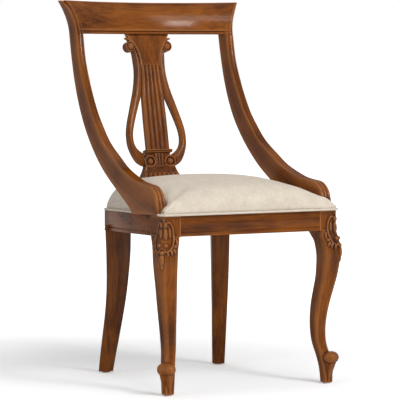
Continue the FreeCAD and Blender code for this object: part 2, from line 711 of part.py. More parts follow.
def make_cushion(name, inset, bottom):
    # The sections draw in towards the top as on a stuffed seat; a pad under cloth is smaller all round.
    body = make_seat_body(name + "_crown")
    steps = [(0.0, 0), (0.2, 1), (0.4, 8), (0.6, 24), (0.78, 52), (0.92, 100), (1.0, 150)]
    sections = []
    for level, (share, draw) in enumerate(steps):
        height = size("seatCrown") * share - inset
        sections.append(crown_section(body, f"{name}_crown_{level}", height, draw + inset))
    loft(body, sections, straight=True)
    plan = make_seat_body(name + "_plan")
    sketch = make_sketch(plan, name + "_notched", "XY_Plane", bottom)
    add_polygon(sketch, seat_plan(inset))
    pad(plan, sketch, "Sizes.seatCrown")
    whole = doc.addObject("Part::Common", name + "_whole")
    whole.Base = body
    whole.Tool = plan
    return whole


board_body = make_seat_body("seat_board")
sketch = make_sketch(board_body, "board_plan", "XY_Plane")
add_polygon(sketch, seat_plan(size("coverThickness") + 3))
pad(board_body, sketch, "Sizes.seatBoardThickness")
nodes["seat_board"] = board_body

cloth = size("coverThickness")
both_stiles = [stiles["left"], stiles["right"]]
foam = make_cushion("foam", cloth, size("seatBoardThickness"))
nodes["seat_foam"] = cut("seat_foam", foam, both_stiles)
cover = make_cushion("cover", 0, 0)
nodes["seat_cover"] = cut("seat_cover", cover, both_stiles + [nodes["seat_foam"], board_body])

# Welt: a round cord along the cover's lower edge, in front and at the sides behind the stiles

welt_radius = size("weltRadius")
welt_height = size("railTop") + welt_radius + 1
shift = size("frameShift")
welt_start = vec(5 - seat_half, seat_front - welt_radius + shift, welt_height)
welts = [Part.makeCylinder(welt_radius, 2 * seat_half - 10, welt_start, vec(1, 0, 0))]
for sign in (-1, 1):
    first, last = -size("notchRear"), rear_y
    start = vec(sign * (side_line(first) + welt_radius), first + shift, seat_level(first) + welt_radius)
    end = vec(sign * (side_line(last) + welt_radius), last + shift, seat_level(last) + welt_radius)
    welts.append(Part.makeCylinder(welt_radius, (end - start).Length, start, end - start))
welt = doc.addObject("Part::Feature", "seat_welt")
welt.Shape = Part.makeCompound(welts)
nodes["seat_welt"] = welt

# Dust cover under the board, clear of the corner blocks

dust = make_seat_body("dust_cover")
sketch = make_sketch(dust, "dust_plan", "XY_Plane", -1)
gap = 3
low_y = front_inner + gap
high_y = rear_inner - gap
half = [(front_end - reach - gap, low_y),
        (side_line(block_rear + 0.7 * reach, thick) - gap, block_rear + 0.7 * reach + gap),
        (side_line(rear_inner - reach, thick) - gap, rear_inner - reach - gap),
        (rear_end - reach - gap, high_y)]
add_polygon(sketch, half + [(-x, y) for x, y in reversed(half)])
pad(dust, sketch, 1.0)
nodes["dust_cover"] = dust

# Fasteners: each group of like pieces is one node of separate solids


def make_screw(start, direction, length):
    # A countersunk wood screw; start is the middle of its head's face.
    radius = size("screwRadius")
    step = FreeCAD.Vector(direction).normalize()
    head = Part.makeCone(2 * radius, radius, 1.4 * radius, start, step)
    shank = Part.makeCylinder(radius, length - 2.5 * radius, start + step * (1.4 * radius), step)
    tip = Part.makeCone(radius, 0.3, 1.1 * radius, start + step * (length - 1.1 * radius), step)
    return head.fuse([shank, tip]).removeSplitter()


def add_group(name, solids):
    feature = doc.addObject("Part::Feature", name)
    feature.Shape = Part.makeCompound(solids)
    feature.Placement = FreeCAD.Placement(vec(0, shift, 0), FreeCAD.Rotation())
    nodes[name] = feature


front_level = block_tops["front"] - size("blockHeight") / 2
rear_level = block_tops["rear"] - size("blockHeight") / 2
screw_long = size("screwLength")
side_screws = []
seat_screws = []
for sign in (-1, 1):
    x = front_end - 0.35 * reach
    side_screws.append(make_screw(vec(sign * x, front_inner + 16, front_level), vec(0, -1, 0), screw_long))
    y = block_rear + 0.3 * reach
    x = side_line(y, thick) - 16
    side_screws.append(make_screw(vec(sign * x, y, front_level), vec(sign, 0, 0), screw_long))
    x = rear_end - 0.6 * reach
    side_screws.append(make_screw(vec(sign * x, rear_inner - 14, rear_level), vec(0, 1, 0), screw_long))
    for x, y, top in ((front_end - 0.15 * reach, front_inner + 0.5 * reach, block_tops["front"]),
                      (rear_end - 0.75 * reach, rear_inner - 0.12 * reach, block_tops["rear"])):
        start = vec(sign * x, y, top - size("blockHeight") + 10)
        seat_screws.append(make_screw(start, vec(0, 0, 1), screw_long))
add_group("corner_block_screws", side_screws)
add_group("seat_screws", seat_screws)

crest_screws = []
crest_screw_places = [(213, 293, 868, 40), (217, 296, 902, 35)]
for sign in (-1, 1):
    for x, y, height, length in crest_screw_places:
        crest_screws.append(make_screw(vec(sign * x, y, height), vec(0, -1, 0), length))
add_group("crest_screws", crest_screws)

dowels = []
dowel_places = [(227, -194), (217, -112)]
dowel_low = size("railTop") - size("dowelLength") / 2
for sign in (-1, 1):
    for x, y in dowel_places:
        dowels.append(Part.makeCylinder(size("dowelRadius"), size("dowelLength"),
                                        vec(sign * x, y, dowel_low), vec(0, 0, 1)))
add_group("stile_dowels", dowels)

glides = []
foot_out, foot_forward = cabriole[-1][1:3]
swing = radians(size("rearLegTurn"))
back = sabre[-1][1]
for sign in (-1, 1):
    feet = ((block_x + foot_out, block_y - foot_forward),
            (size("rearLegX") + back * sin(swing), size("rearLegY") + back * cos(swing)))
    for x, y in feet:
        foot = vec(sign * x, y, 0)
        glides.append(Part.makeCylinder(size("glideRadius"), size("glideHeight"), foot, vec(0, 0, 1)))
add_group("foot_glides", glides)

# Check every object, then write one file for each node

doc.recompute()
problems = []
for thing in doc.Objects:
    if "Invalid" in thing.State or "Error" in thing.State:
        problems.append(f"{thing.Name}: {thing.State}")
for name, thing in nodes.items():
    if thing.Shape.isNull() or not thing.Shape.isValid() or not thing.Shape.Solids:
        problems.append(f"{name}: bad shape")
assert not problems, "\n".join(problems)

whole = FreeCAD.BoundBox()
for name, thing in nodes.items():
    thing.Shape.exportStep(f"parts/{name}.step")
    whole.add(thing.Shape.BoundBox)
    print(f"{name}: {len(thing.Shape.Solids)} solid(s), {thing.Shape.Volume / 1000:.1f} cm3")
print(f"{len(nodes)} nodes")
print(f"height {whole.ZMax - whole.ZMin:.1f} mm")
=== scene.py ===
from math import copysign, cos, dist, hypot, pi, radians, sin, sqrt, tan

import bmesh
import bpy
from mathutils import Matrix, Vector
from mathutils.bvhtree import BVHTree
from mathutils.geometry import delaunay_2d_cdt


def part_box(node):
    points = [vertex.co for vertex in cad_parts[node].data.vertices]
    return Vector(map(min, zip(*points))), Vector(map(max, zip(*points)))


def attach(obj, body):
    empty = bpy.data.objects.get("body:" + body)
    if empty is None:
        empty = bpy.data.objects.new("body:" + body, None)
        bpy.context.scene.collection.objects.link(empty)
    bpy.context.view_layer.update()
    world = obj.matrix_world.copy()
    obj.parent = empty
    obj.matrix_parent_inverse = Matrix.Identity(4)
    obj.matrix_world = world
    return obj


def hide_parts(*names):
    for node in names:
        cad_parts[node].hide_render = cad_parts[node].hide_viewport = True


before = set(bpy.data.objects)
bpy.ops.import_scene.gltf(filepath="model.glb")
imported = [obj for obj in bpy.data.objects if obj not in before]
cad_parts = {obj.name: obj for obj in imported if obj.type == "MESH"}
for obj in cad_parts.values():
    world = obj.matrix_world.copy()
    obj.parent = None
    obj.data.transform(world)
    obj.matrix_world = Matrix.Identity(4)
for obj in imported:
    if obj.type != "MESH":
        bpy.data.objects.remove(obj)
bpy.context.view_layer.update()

# The chair faces -Y. Lengths below are in millimetres from the datum line that the seat frame is drawn on;
# place() turns them into metres in the frame.

chair = {
    "railTop": 420.0,
    "railFall": 12.0 / 372.0,     # the seat frame falls towards the rear
    "blockRear": -168.0,          # rear face of the front leg blocks
    "rearFace": 204.0,            # rear face of the rear rail
    "frontHalf": 236.0,
    "rearHalf": 169.0,
    "frontFace": -234.0,
}
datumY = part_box("rear_rail")[1][1] - chair["rearFace"] / 1000
sides = {"left": -1, "right": 1}


def place(x, y, z):
    return Vector((x / 1000, y / 1000 + datumY, z / 1000))


def seatLevel(y):
    return chair["railTop"] - max(0.0, y - chair["blockRear"]) * chair["railFall"]


def sideLine(y):
    slope = (chair["frontHalf"] - chair["rearHalf"]) / (chair["rearFace"] - chair["blockRear"])
    return chair["frontHalf"] - (y - chair["blockRear"]) * slope


# Drawing helpers

def mix(a, b, share):
    return a + (b - a) * share


def ease(low, high, value):
    share = min(1.0, max(0.0, (value - low) / (high - low)))
    return share * share * (3 - 2 * share)


def valueAt(table, key):
    # straight-line look-up in a sorted list of (key, value)
    if key <= table[0][0]:
        return table[0][1]
    for (k0, v0), (k1, v1) in zip(table, table[1:]):
        if key <= k1:
            return mix(v0, v1, (key - k0) / (k1 - k0))
    return table[-1][1]


def circle(count):
    # (cosine, sine) of evenly spaced directions
    return [(cos(a), sin(a)) for a in (2 * pi * k / count for k in range(count))]


def reeded(count, share):
    # 0 on the crown of each reed, 1 in the groove between two
    return 1 - abs(sin(pi * count * share)) ** 0.7


def rounded(edge, radius):
    # how far a round edge lies back, as a share of its radius
    return 1 - sqrt(max(0.0, 1 - max(0.0, 1 - edge / radius) ** 2))


def roundedBox(halfX, halfY, corner, steps):
    # points of a rectangle with round corners about its middle
    quarters = enumerate(((1, 1), (-1, 1), (-1, -1), (1, -1)))
    return [(sx * (halfX - corner) + corner * cos(a), sy * (halfY - corner) + corner * sin(a))
            for quarter, (sx, sy) in quarters
            for a in (radians(90 * quarter + 90 * k / steps) for k in range(steps + 1))]


def lengthsAlong(points):
    lengths = [0.0]
    for a, b in zip(points, points[1:]):
        lengths.append(lengths[-1] + dist(a, b))
    return lengths


def smoothLine(points, count):
    # evenly spaced points on a smooth line through the given ones, in any number of dimensions
    points = [tuple(float(v) for v in p) for p in points]
    before = tuple(2 * a - b for a, b in zip(points[0], points[1]))
    after = tuple(2 * a - b for a, b in zip(points[-1], points[-2]))
    run = [before] + points + [after]
    dense = []
    for i in range(1, len(run) - 2):
        for t in (step / 12 for step in range(12)):
            dense.append(tuple(
                0.5 * (2 * b + (c - a) * t + (2 * a - 5 * b + 4 * c - d) * t * t
                       + (3 * b - a - 3 * c + d) * t ** 3)
                for a, b, c, d in zip(*run[i - 1:i + 3])))
    dense.append(points[-1])
    lengths = lengthsAlong(dense)
    result = []
    i = 0
    for n in range(count):
        goal = lengths[-1] * n / (count - 1)
        while i < len(dense) - 2 and lengths[i + 1] < goal:
            i += 1
        span = lengths[i + 1] - lengths[i]
        share = (goal - lengths[i]) / span if span else 0.0
        result.append(tuple(mix(a, b, share) for a, b in zip(dense[i], dense[i + 1])))
    return result


def loft(rings):
    # a closed solid through rings of points
    size = len(rings[0])
    last = (len(rings) - 1) * size
    faces = []
    for start in range(0, last, size):
        for j in range(size):
            a, b = start + j, start + (j + 1) % size
            faces.append((a, b, b + size, a + size))
    faces += [tuple(reversed(range(size))), tuple(range(last, last + size))]
    return [p for ring in rings for p in ring], faces


def tube(path, radii, segments=12):
    # a round bar along points in metres; radii in millimetres, one for each point
    rings = []
    normal = None
    for i, point in enumerate(path):
        ahead = path[min(i + 1, len(path) - 1)] - path[max(i - 1, 0)]
        ahead.normalize()
        if normal is None:
            normal = ahead.orthogonal().normalized()
        normal = (normal - ahead * normal.dot(ahead)).normalized()
        across = ahead.cross(normal)
        radius = radii[i] / 1000
        rings.append([point + (normal * c + across * s) * radius for c, s in circle(segments)])
    return loft(rings)


def ball(centre, axes, segments=20):
    # an ellipsoid: centre in metres, axes are three vectors in metres
    rings = []
    for i in range(segments // 2 + 1):
        polar = max(0.02, min(pi - 0.02, pi * i / (segments // 2)))
        rings.append([centre + axes[0] * sin(polar) * c + axes[1] * sin(polar) * s + axes[2] * cos(polar)
                      for c, s in circle(segments)])
    return loft(rings)


def boxSolid(low, high):
    x0, y0, z0 = low
    x1, y1, z1 = high
    return loft([[place(x0, y0, z), place(x1, y0, z), place(x1, y1, z), place(x0, y1, z)] for z in (z0, z1)])


def joined(parts):
    points, faces = [], []
    for partPoints, partFaces in parts:
        base = len(points)
        points += [Vector(p) for p in partPoints]
        faces += [tuple(base + i for i in face) for face in partFaces]
    return points, faces


def facedOut(mesh):
    # joins points that meet and turns every face outwards
    work = bmesh.new()
    work.from_mesh(mesh)
    bmesh.ops.remove_doubles(work, verts=work.verts, dist=1e-6)
    bmesh.ops.recalc_face_normals(work, faces=work.faces)
    work.to_mesh(mesh)
    work.free()
    return mesh


def newObject(name, data):
    thing = bpy.data.objects.new(name, data)
    bpy.context.scene.collection.objects.link(thing)
    return thing


def newPiece(name, parts):
    mesh = bpy.data.meshes.new(name)
    points, faces = joined(parts)
    mesh.from_pydata([tuple(p) for p in points], [], faces)
    return newObject(name, facedOut(mesh))


def modifier(thing, name, kind, **values):
    made = thing.modifiers.new(name, kind)
    for key, value in values.items():
        setattr(made, key, value)
    return made


def applied(thing):
    # the object's modifiers turned into its plain mesh
    graph = bpy.context.evaluated_depsgraph_get()
    mesh = bpy.data.meshes.new_from_object(thing.evaluated_get(graph))
    thing.modifiers.clear()
    old = thing.data
    thing.data = mesh
    mesh.name = thing.name
    bpy.data.meshes.remove(old)


def shade(thing, angle):
    thing.data.shade_smooth()
    thing.data.set_sharp_from_angle(angle=radians(angle))


def markHollows(thing, rounds=8, depth=0.00036):
    # how deep each point lies in a hollow (towards 1) or stands on a ridge, for the glaze and painted shade in the
    # hollows of the carving and the painted highlight on its ridges
    mesh = thing.data
    links = [[] for _ in mesh.vertices]
    for edge in mesh.edges:
        a, b = edge.vertices
        links[a].append(b)
        links[b].append(a)
    start = [v.co.copy() for v in mesh.vertices]
    spots = start
    for _ in range(rounds):
        spots = [sum((spots[j] for j in near), Vector()) / len(near) if near else spots[i]
                 for i, near in enumerate(links)]
    hollow = mesh.attributes.new("hollow", "FLOAT", "POINT")
    ridge = mesh.attributes.new("ridge", "FLOAT", "POINT")
    for i, vertex in enumerate(mesh.vertices):
        lift = (spots[i] - start[i]).dot(vertex.normal) / depth
        hollow.data[i].value = min(1.0, max(0.0, lift))
        ridge.data[i].value = min(1.0, max(0.0, -lift))


def carved(name, parts, voxel):
    # overlapping solids melted into one carved piece of wood
    thing = newPiece(name, parts)
    modifier(thing, "melt", "REMESH", mode="VOXEL", voxel_size=voxel / 1000)
    modifier(thing, "sand", "SMOOTH", factor=0.35, iterations=2)
    applied(thing)
    thing.data.shade_smooth()
    # hollows and ridges for the painted shade and painted highlight in the carving
    markHollows(thing)
    return thing


def softened(name, node, width):
    # a copy of a plain CAD piece with its sharp edges eased
    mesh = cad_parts[node].data.copy()
    mesh.name = name
    work = bmesh.new()
    work.from_mesh(mesh)
    bmesh.ops.remove_doubles(work, verts=work.verts, dist=1e-5)
    bmesh.ops.dissolve_limit(work, angle_limit=radians(1), verts=work.verts, edges=work.edges)
    work.to_mesh(mesh)
    work.free()
    thing = newObject(name, mesh)
    modifier(thing, "easedEdge", "BEVEL", width=width / 1000, segments=2, limit_method="ANGLE",
             angle_limit=radians(35))
    applied(thing)
    shade(thing, 40)
    return thing


# Materials

def fill(tree, socket, value):
    # a socket takes another socket's value or a plain one
    if isinstance(value, bpy.types.NodeSocket):
        tree.links.new(value, socket)
    else:
        socket.default_value = value


def fillAll(tree, node, values):
    for key, value in values.items():
        fill(tree, node.inputs[key], value)


def addNode(tree, kind, **values):
    node = tree.nodes.new(kind)
    for key, value in values.items():
        if key in node.inputs:
            fill(tree, node.inputs[key], value)
        else:
            setattr(node, key, value)
    return node


def newGroup(name, kind, inputs, outputs):
    group = bpy.data.node_groups.new(name, kind)
    for label, sort, value in inputs:
        socket = group.interface.new_socket(label, in_out="INPUT", socket_type="NodeSocket" + sort)
        if value is not None:
            socket.default_value = value
    for label, sort in outputs:
        group.interface.new_socket(label, in_out="OUTPUT", socket_type="NodeSocket" + sort)
    return group, group.nodes.new("NodeGroupInput").outputs, group.nodes.new("NodeGroupOutput")


def mixColour(tree, mode, factor, a, b):
    node = addNode(tree, "ShaderNodeMix", data_type="RGBA", blend_type=mode)
    for index, value in ((0, factor), (6, a), (7, b)):
        fill(tree, node.inputs[index], value)
    return node.outputs[2]


def mathNode(tree, operation, a, b=0.0, clamp=False):
    node = addNode(tree, "ShaderNodeMath", operation=operation, use_clamp=clamp)
    fill(tree, node.inputs[0], a)
    fill(tree, node.inputs[1], b)
    return node.outputs[0]


def times(tree, a, b, clamp=False):
    return mathNode(tree, "MULTIPLY", a, b, clamp)


def plus(tree, a, b):
    return mathNode(tree, "ADD", a, b)


def noise(tree, vector, scale, detail, roughness=0.6):
    return addNode(tree, "ShaderNodeTexNoise", Vector=vector, Scale=scale, Detail=detail,
                   Roughness=roughness).outputs["Fac"]


def ramp(tree, value, low, high):
    node = addNode(tree, "ShaderNodeMapRange", interpolation_type="SMOOTHSTEP", Value=value)
    fillAll(tree, node, {"From Min": low, "From Max": high})
    return node.outputs["Result"]


def relief(tree, height, strength, depth):
    return addNode(tree, "ShaderNodeBump", Strength=strength, Distance=depth, Height=height).outputs["Normal"]


def grainGroup():
    # streaks, slow patches and pores of stained wood, along the grain that the material's mapping stretches
    group, start, end = newGroup(
        "stainedGrain", "ShaderNodeTree",
        [("Vector", "Vector", None), ("Spot", "Vector", None), ("Light", "Color", (0.3, 0.1, 0.02, 1)),
         ("Dark", "Color", (0.1, 0.03, 0.01, 1)), ("Streaks", "Float", 0.6), ("Pores", "Float", 0.4)],
        [("Colour", "Color"), ("Roughness", "Float"), ("Height", "Float")])
    wide = ramp(group, noise(group, start["Vector"], 34, 5), 0.34, 0.68)
    fine = ramp(group, noise(group, start["Vector"], 170, 4), 0.40, 0.64)
    patches = ramp(group, noise(group, start["Spot"], 9, 2, 0.5), 0.36, 0.66)
    pores = ramp(group, noise(group, start["Vector"], 520, 2, 0.5), 0.56, 0.70)
    streak = plus(group, times(group, wide, 0.6), times(group, fine, 0.4))
    both = plus(group, times(group, streak, start["Streaks"]), times(group, patches, 0.35))
    lightness = mathNode(group, "SUBTRACT", 1.0, both, clamp=True)
    colour = mixColour(group, "MIX", lightness, start["Dark"], start["Light"])
    colour = mixColour(group, "MULTIPLY", times(group, pores, start["Pores"]), colour, (0.45, 0.36, 0.32, 1))
    fillAll(group, end, {"Colour": colour, "Roughness": plus(group, 0.30, times(group, fine, 0.10)),
                         "Height": mathNode(group, "SUBTRACT", times(group, fine, 0.3), pores)})
    return group


def glazeShadeAndHighlightGroup():
    # dark glaze and painted shade in the hollows; on the ridges the glaze is rubbed through, with a painted highlight
    group, start, end = newGroup(
        "glazeWithPaintedShadeAndHighlight", "ShaderNodeTree",
        [("Colour", "Color", (0.3, 0.1, 0.02, 1)), ("Hollow", "Float", 0.0), ("Ridge", "Float", 0.0),
         ("Amount", "Float", 0.8)],
        [("Colour", "Color")])
    # the hollows darken towards near-black: dark glaze and painted shade
    dark = times(group, start["Hollow"], start["Amount"], clamp=True)
    colour = mixColour(group, "MIX", dark, start["Colour"], (0.014, 0.005, 0.003, 1))
    # the ridges lighten towards a pale orange: rubbed-through wear and a painted highlight
    light = times(group, start["Ridge"], 0.45, clamp=True)
    fillAll(group, end, {"Colour": mixColour(group, "MIX", light, colour, (0.50, 0.20, 0.07, 1))})
    return group


def weaveGroup():
    # plain weave from two crossing sets of threads, with uneven yarn
    group, start, end = newGroup(
        "plainWeave", "ShaderNodeTree", [("Vector", "Vector", None), ("Threads", "Float", 900.0)],
        [("Shade", "Float"), ("Height", "Float")])
    split = addNode(group, "ShaderNodeSeparateXYZ", Vector=start["Vector"]).outputs
    turns = times(group, start["Threads"], 6.283)
    warp = mathNode(group, "SINE", times(group, split["X"], turns))
    weft = mathNode(group, "SINE", times(group, plus(group, split["Y"], split["Z"]), turns))
    uneven = noise(group, start["Vector"], 260, 3)
    slub = noise(group, start["Vector"], 38, 4)
    fillAll(group, end, {
        "Shade": plus(group, times(group, uneven, 0.5), times(group, slub, 0.5)),
        "Height": plus(group, times(group, times(group, warp, weft), 0.5), uneven)})
    return group


groups = {"grain": grainGroup(), "glazeAndPaintedShade": glazeShadeAndHighlightGroup(), "weave": weaveGroup()}


def placedGroup(tree, name, values):
    node = tree.nodes.new("ShaderNodeGroup")
    node.node_tree = groups[name]
    fillAll(tree, node, values)
    return node.outputs


def freshMaterial(name):
    material = bpy.data.materials.new(name)
    material.use_nodes = True
    tree = material.node_tree
    return material, tree, tree.nodes["Principled BSDF"]


def objectPlace(tree):
    return tree.nodes.new("ShaderNodeTexCoord").outputs["Object"]


def attribute(tree, name):
    return addNode(tree, "ShaderNodeAttribute", attribute_name=name).outputs


mahogany = {
    "light": (0.268, 0.076, 0.0070, 1), "dark": (0.052, 0.012, 0.0028, 1), "streaks": 0.70, "pores": 0.40,
    "coat": 0.22, "glazeAndPaintedShade": 0.80,
}
paleWood = {
    "light": (0.46, 0.31, 0.17, 1), "dark": (0.30, 0.18, 0.09, 1), "streaks": 0.6, "pores": 0.3,
    "coat": 0.0, "glazeAndPaintedShade": 0.3,
}
plyWood = {
    "light": (0.58, 0.42, 0.25, 1), "dark": (0.42, 0.28, 0.15, 1), "streaks": 0.5, "pores": 0.25,
    "coat": 0.0, "glazeAndPaintedShade": 0.3,
}


def woodMaterial(name, stretch, settings, followed=False):
    # followed: the grain runs with the piece, along the places written on its points
    material, tree, shader = freshMaterial(name)
    spot = objectPlace(tree)
    source = attribute(tree, "grainPlace")["Vector"] if followed else spot
    along = addNode(tree, "ShaderNodeMapping", Vector=source, Scale=stretch).outputs["Vector"]
    grain = placedGroup(tree, "grain", {
        "Vector": along, "Spot": spot, "Light": settings["light"], "Dark": settings["dark"],
        "Streaks": settings["streaks"], "Pores": settings["pores"]})
    # darkens the hollows (glaze and painted shade) and lightens the ridges (wear and painted highlight)
    glazeAndPaintedShade = placedGroup(tree, "glazeAndPaintedShade", {
        "Colour": grain["Colour"], "Hollow": attribute(tree, "hollow")["Fac"],
        "Ridge": attribute(tree, "ridge")["Fac"], "Amount": settings["glazeAndPaintedShade"]})
    fillAll(tree, shader, {
        "Base Color": glazeAndPaintedShade["Colour"], "Roughness": grain["Roughness"],
        "Normal": relief(tree, grain["Height"], 0.6, 0.00006),
        "Specular IOR Level": 0.0,      # the shine is all in the polish
        "Coat Weight": settings["coat"], "Coat Roughness": 0.15})
    return material


linen = {"light": (0.74, 0.655, 0.548, 1), "dark": (0.655, 0.570, 0.465, 1), "threads": 800.0, "bump": 0.0003}
dustCloth = {"light": (0.02, 0.02, 0.02, 1), "dark": (0.012, 0.012, 0.012, 1), "threads": 600.0, "bump": 0.0002}


def fabricMaterial(name, settings):
    material, tree, shader = freshMaterial(name)
    weave = placedGroup(tree, "weave", {"Vector": objectPlace(tree), "Threads": settings["threads"]})
    shades = ramp(tree, weave["Shade"], 0.38, 0.62)
    fillAll(tree, shader, {
        "Base Color": mixColour(tree, "MIX", shades, settings["dark"], settings["light"]),
        "Roughness": 0.92, "Specular IOR Level": 0.25, "Sheen Weight": 0.15, "Sheen Roughness": 0.5,
        "Normal": relief(tree, weave["Height"], 0.5, settings["bump"])})
    return material


def plainMaterial(name, light, dark, scale, roughness, metallic=0.0):
    # a finish without grain, such as moulded plastic or plated steel, mottled a little
    material, tree, shader = freshMaterial(name)
    spots = noise(tree, objectPlace(tree), scale, 4)
    low, high = roughness
    fillAll(tree, shader, {
        "Base Color": mixColour(tree, "MIX", ramp(tree, spots, 0.35, 0.65), dark, light),
        "Roughness": plus(tree, low, times(tree, spots, high - low)), "Metallic": metallic,
        "Normal": relief(tree, spots, 0.3, 0.0001)})
    return material


finishes = {
    "upright": woodMaterial("mahoganyUpright", (1, 1, 0.07), mahogany),
    "swept": woodMaterial("mahoganySwept", (1, 1, 0.06), mahogany, followed=True),
    "across": woodMaterial("mahoganyAcross", (0.07, 1, 1), mahogany),
    "deep": woodMaterial("mahoganyDeep", (1, 0.07, 1), mahogany),
    "block": woodMaterial("sawnBlock", (0.1, 0.1, 1), paleWood),
    "ply": woodMaterial("plywood", (1, 0.06, 1), plyWood),
    "dowel": woodMaterial("beechDowel", (1, 1, 0.1), plyWood),
    "linen": fabricMaterial("creamLinen", linen),
    "dust": fabricMaterial("blackDustCloth", dustCloth),
    "steel": plainMaterial("platedSteel", (0.62, 0.61, 0.58, 1), (0.46, 0.45, 0.43, 1), 500, (0.25, 0.4), 1.0),
    "glide": plainMaterial("paleGlide", (0.82, 0.81, 0.78, 1), (0.72, 0.71, 0.68, 1), 300, (0.45, 0.6)),
}


def followGrain(thing, line):
    # writes on each point its place along and beside a line of points in metres
    lengths = lengthsAlong(line)
    layer = thing.data.attributes.new("grainPlace", "FLOAT_VECTOR", "POINT")
    for i, vertex in enumerate(thing.data.vertices):
        spot = Vector((0, vertex.co.y, vertex.co.z))
        near = min(range(len(line)), key=lambda k: (line[k] - spot).length_squared)
        ahead = (line[min(near + 1, len(line) - 1)] - line[max(near - 1, 0)]).normalized()
        away = spot - line[near]
        side = ahead.y * away.z - ahead.z * away.y
        layer.data[i].vector = (vertex.co.x, side, lengths[near] + away.dot(ahead))


def finishPiece(thing, finish, slotName, *nodes):
    thing.data.materials.clear()
    thing.data.materials.append(finishes[finish])
    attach(thing, "root")
    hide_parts(*nodes)


print("materials ready")

# Seat frame: the CAD rails with eased edges

for node, name, finish in (("front_rail", "frontRail", "across"), ("rear_rail", "rearRail", "across"),
                           ("left_side_rail", "leftSideRail", "deep"), ("right_side_rail", "rightSideRail", "deep")):
    finishPiece(softened(name, node, 0.8), finish, "mahogany", node)
print("seat frame ready")

# Stiles: swept boards with a beaded front edge and a reeded knuckle at the foot

stile = {
    "inner": 204.5, "thickness": 21.0, "foot": 26.5, "pivot": 240.0, "splay": tan(radians(1.16)),
    "taperTop": 640.0, "taperLow": 462.0, "flareFrom": 850.0, "flareRadius": 123.0,
    "bead": 5.5, "beadDepth": 1.9, "crown": 0.7, "edgeRound": 2.4, "backRound": 1.4,
    "reeds": 3, "reedDepth": 2.4, "frontSteps": 24, "backSteps": 8, "stations": 120,
}
stilePairs = [
    ((274, 930), (294.5, 930)), ((262, 912), (297.6, 913)), ((255, 890), (297, 888)), ((244, 840), (287.5, 840)),
    ((230, 780), (274, 781)), ((202, 720), (252, 711)), ((165, 660), (223, 652)), ((131, 620), (192, 609)),
    ((88, 580), (151, 566)), ((30, 546), (104, 527)), ((-18, 521), (58, 497)), ((-87, 499), (-10.3, 460)),
    ((-128, 492), (-50, 438)), ((-150, 490), (-71, 424)), ((-164, 488.5), (-76, 417.3)),
    ((-176, 485.5), (-98, 417.9)), ((-192, 475), (-136, 419)), ((-201, 462), (-162, 420)),
    ((-205.5, 449), (-182, 420)), ((-209, 436), (-197, 420)), ((-211.5, 423), (-208, 420)),
]


def stileInner(y):
    return stile["inner"] + (stile["pivot"] - y) * stile["splay"]


def stileSide(y, z, share):
    # x of a point of the stile: share 0 on the inner face, 1 on the outer face
    foot = 1 - min(1.0, max(0.0, (z - stile["taperLow"]) / (stile["taperTop"] - stile["taperLow"])))
    thickness = mix(stile["thickness"], stile["foot"], foot)
    x = stileInner(y) + thickness * share
    if z > stile["flareFrom"]:
        radius = stile["flareRadius"] + stile["thickness"] * (1 - share)
        x += radius - sqrt(radius ** 2 - (z - stile["flareFrom"]) ** 2)
    return x


def stileRing(front, back, sign, share):
    y0, z0 = front
    y1, z1 = back
    length = hypot(y1 - y0, z1 - z0)
    width = stile["thickness"] if z0 > stile["taperTop"] else stile["foot"]
    beads = ease(560, 700, z0)
    reeds = ease(0.745, 0.80, share) * (1 - ease(0.965, 1.0, share) * 0.5)
    ring = []
    for u in (k / stile["frontSteps"] for k in range(stile["frontSteps"] + 1)):
        edge = min(u, 1 - u) * width
        inset = min(stile["edgeRound"], 0.3 * length) * rounded(edge, stile["edgeRound"])
        if edge < stile["bead"]:
            bead = stile["beadDepth"] * (1 - sin(pi * max(edge, 0.6) / stile["bead"]))
        else:
            middle = (u - 0.5) / (0.5 - stile["bead"] / width)
            bead = stile["beadDepth"] + stile["crown"] * (1 - middle ** 2)
        reed = stile["reedDepth"] * reeded(stile["reeds"], u)
        depth = inset + beads * bead + reeds * reed * min(1.0, length / 12)
        ring.append((u, depth / max(length, 0.1)))
    ring += [(1, v) for v in (0.25, 0.5, 0.75)]
    for u in (1 - k / stile["backSteps"] for k in range(stile["backSteps"] + 1)):
        inset = min(stile["backRound"], 0.2 * length) * rounded(min(u, 1 - u) * width, stile["backRound"])
        ring.append((u, 1 - inset / max(length, 0.1)))
    ring += [(0, v) for v in (0.75, 0.5, 0.25)]
    points = []
    for u, v in ring:
        y, z = mix(y0, y1, v), mix(z0, z1, v)
        points.append(place(sign * stileSide(y, z, u), y, z))
    return points


stations = smoothLine([(*a, *b) for a, b in stilePairs], stile["stations"])
middleLine = [place(0, (a + c) / 2, (b + d) / 2) for a, b, c, d in stations]
for side, sign in sides.items():
    rings = [stileRing(station[:2], station[2:], sign, i / (len(stations) - 1))
             for i, station in enumerate(stations)]
    piece = newPiece(side + "Stile", [loft(rings)])
    shade(piece, 32)
    # hollows and ridges for the painted shade and the painted highlight along the arrises
    markHollows(piece, 2, 0.0005)
    followGrain(piece, middleLine)
    finishPiece(piece, "swept", "mahogany", side + "_stile")
print("stiles ready")

# Crest rail: bowed, with a bead along its lower edge and a face that rolls back at the top

crest = {
    "low": 847.4, "flare": 850.0, "tip": 930.6, "dip": 2.6, "radius": 582.0, "front": 287.0,
    "thickness": 22.0, "roll": 32.0, "topThickness": 11.0, "lip": 8.0, "bead": 3.1, "stations": 96,
}


def crestFace(height):
    share = (height - crest["low"]) / (crest["tip"] + 4 - crest["low"])
    return crest["roll"] * (0.25 * share + 0.75 * share ** 3)


def crestEnd(height):
    radius = stile["flareRadius"] + crest["lip"]
    centre = stile["inner"] + stile["thickness"] + stile["flareRadius"]
    rise = min(crest["tip"], max(height, crest["flare"])) - crest["flare"]
    return centre - sqrt(radius ** 2 - rise ** 2)


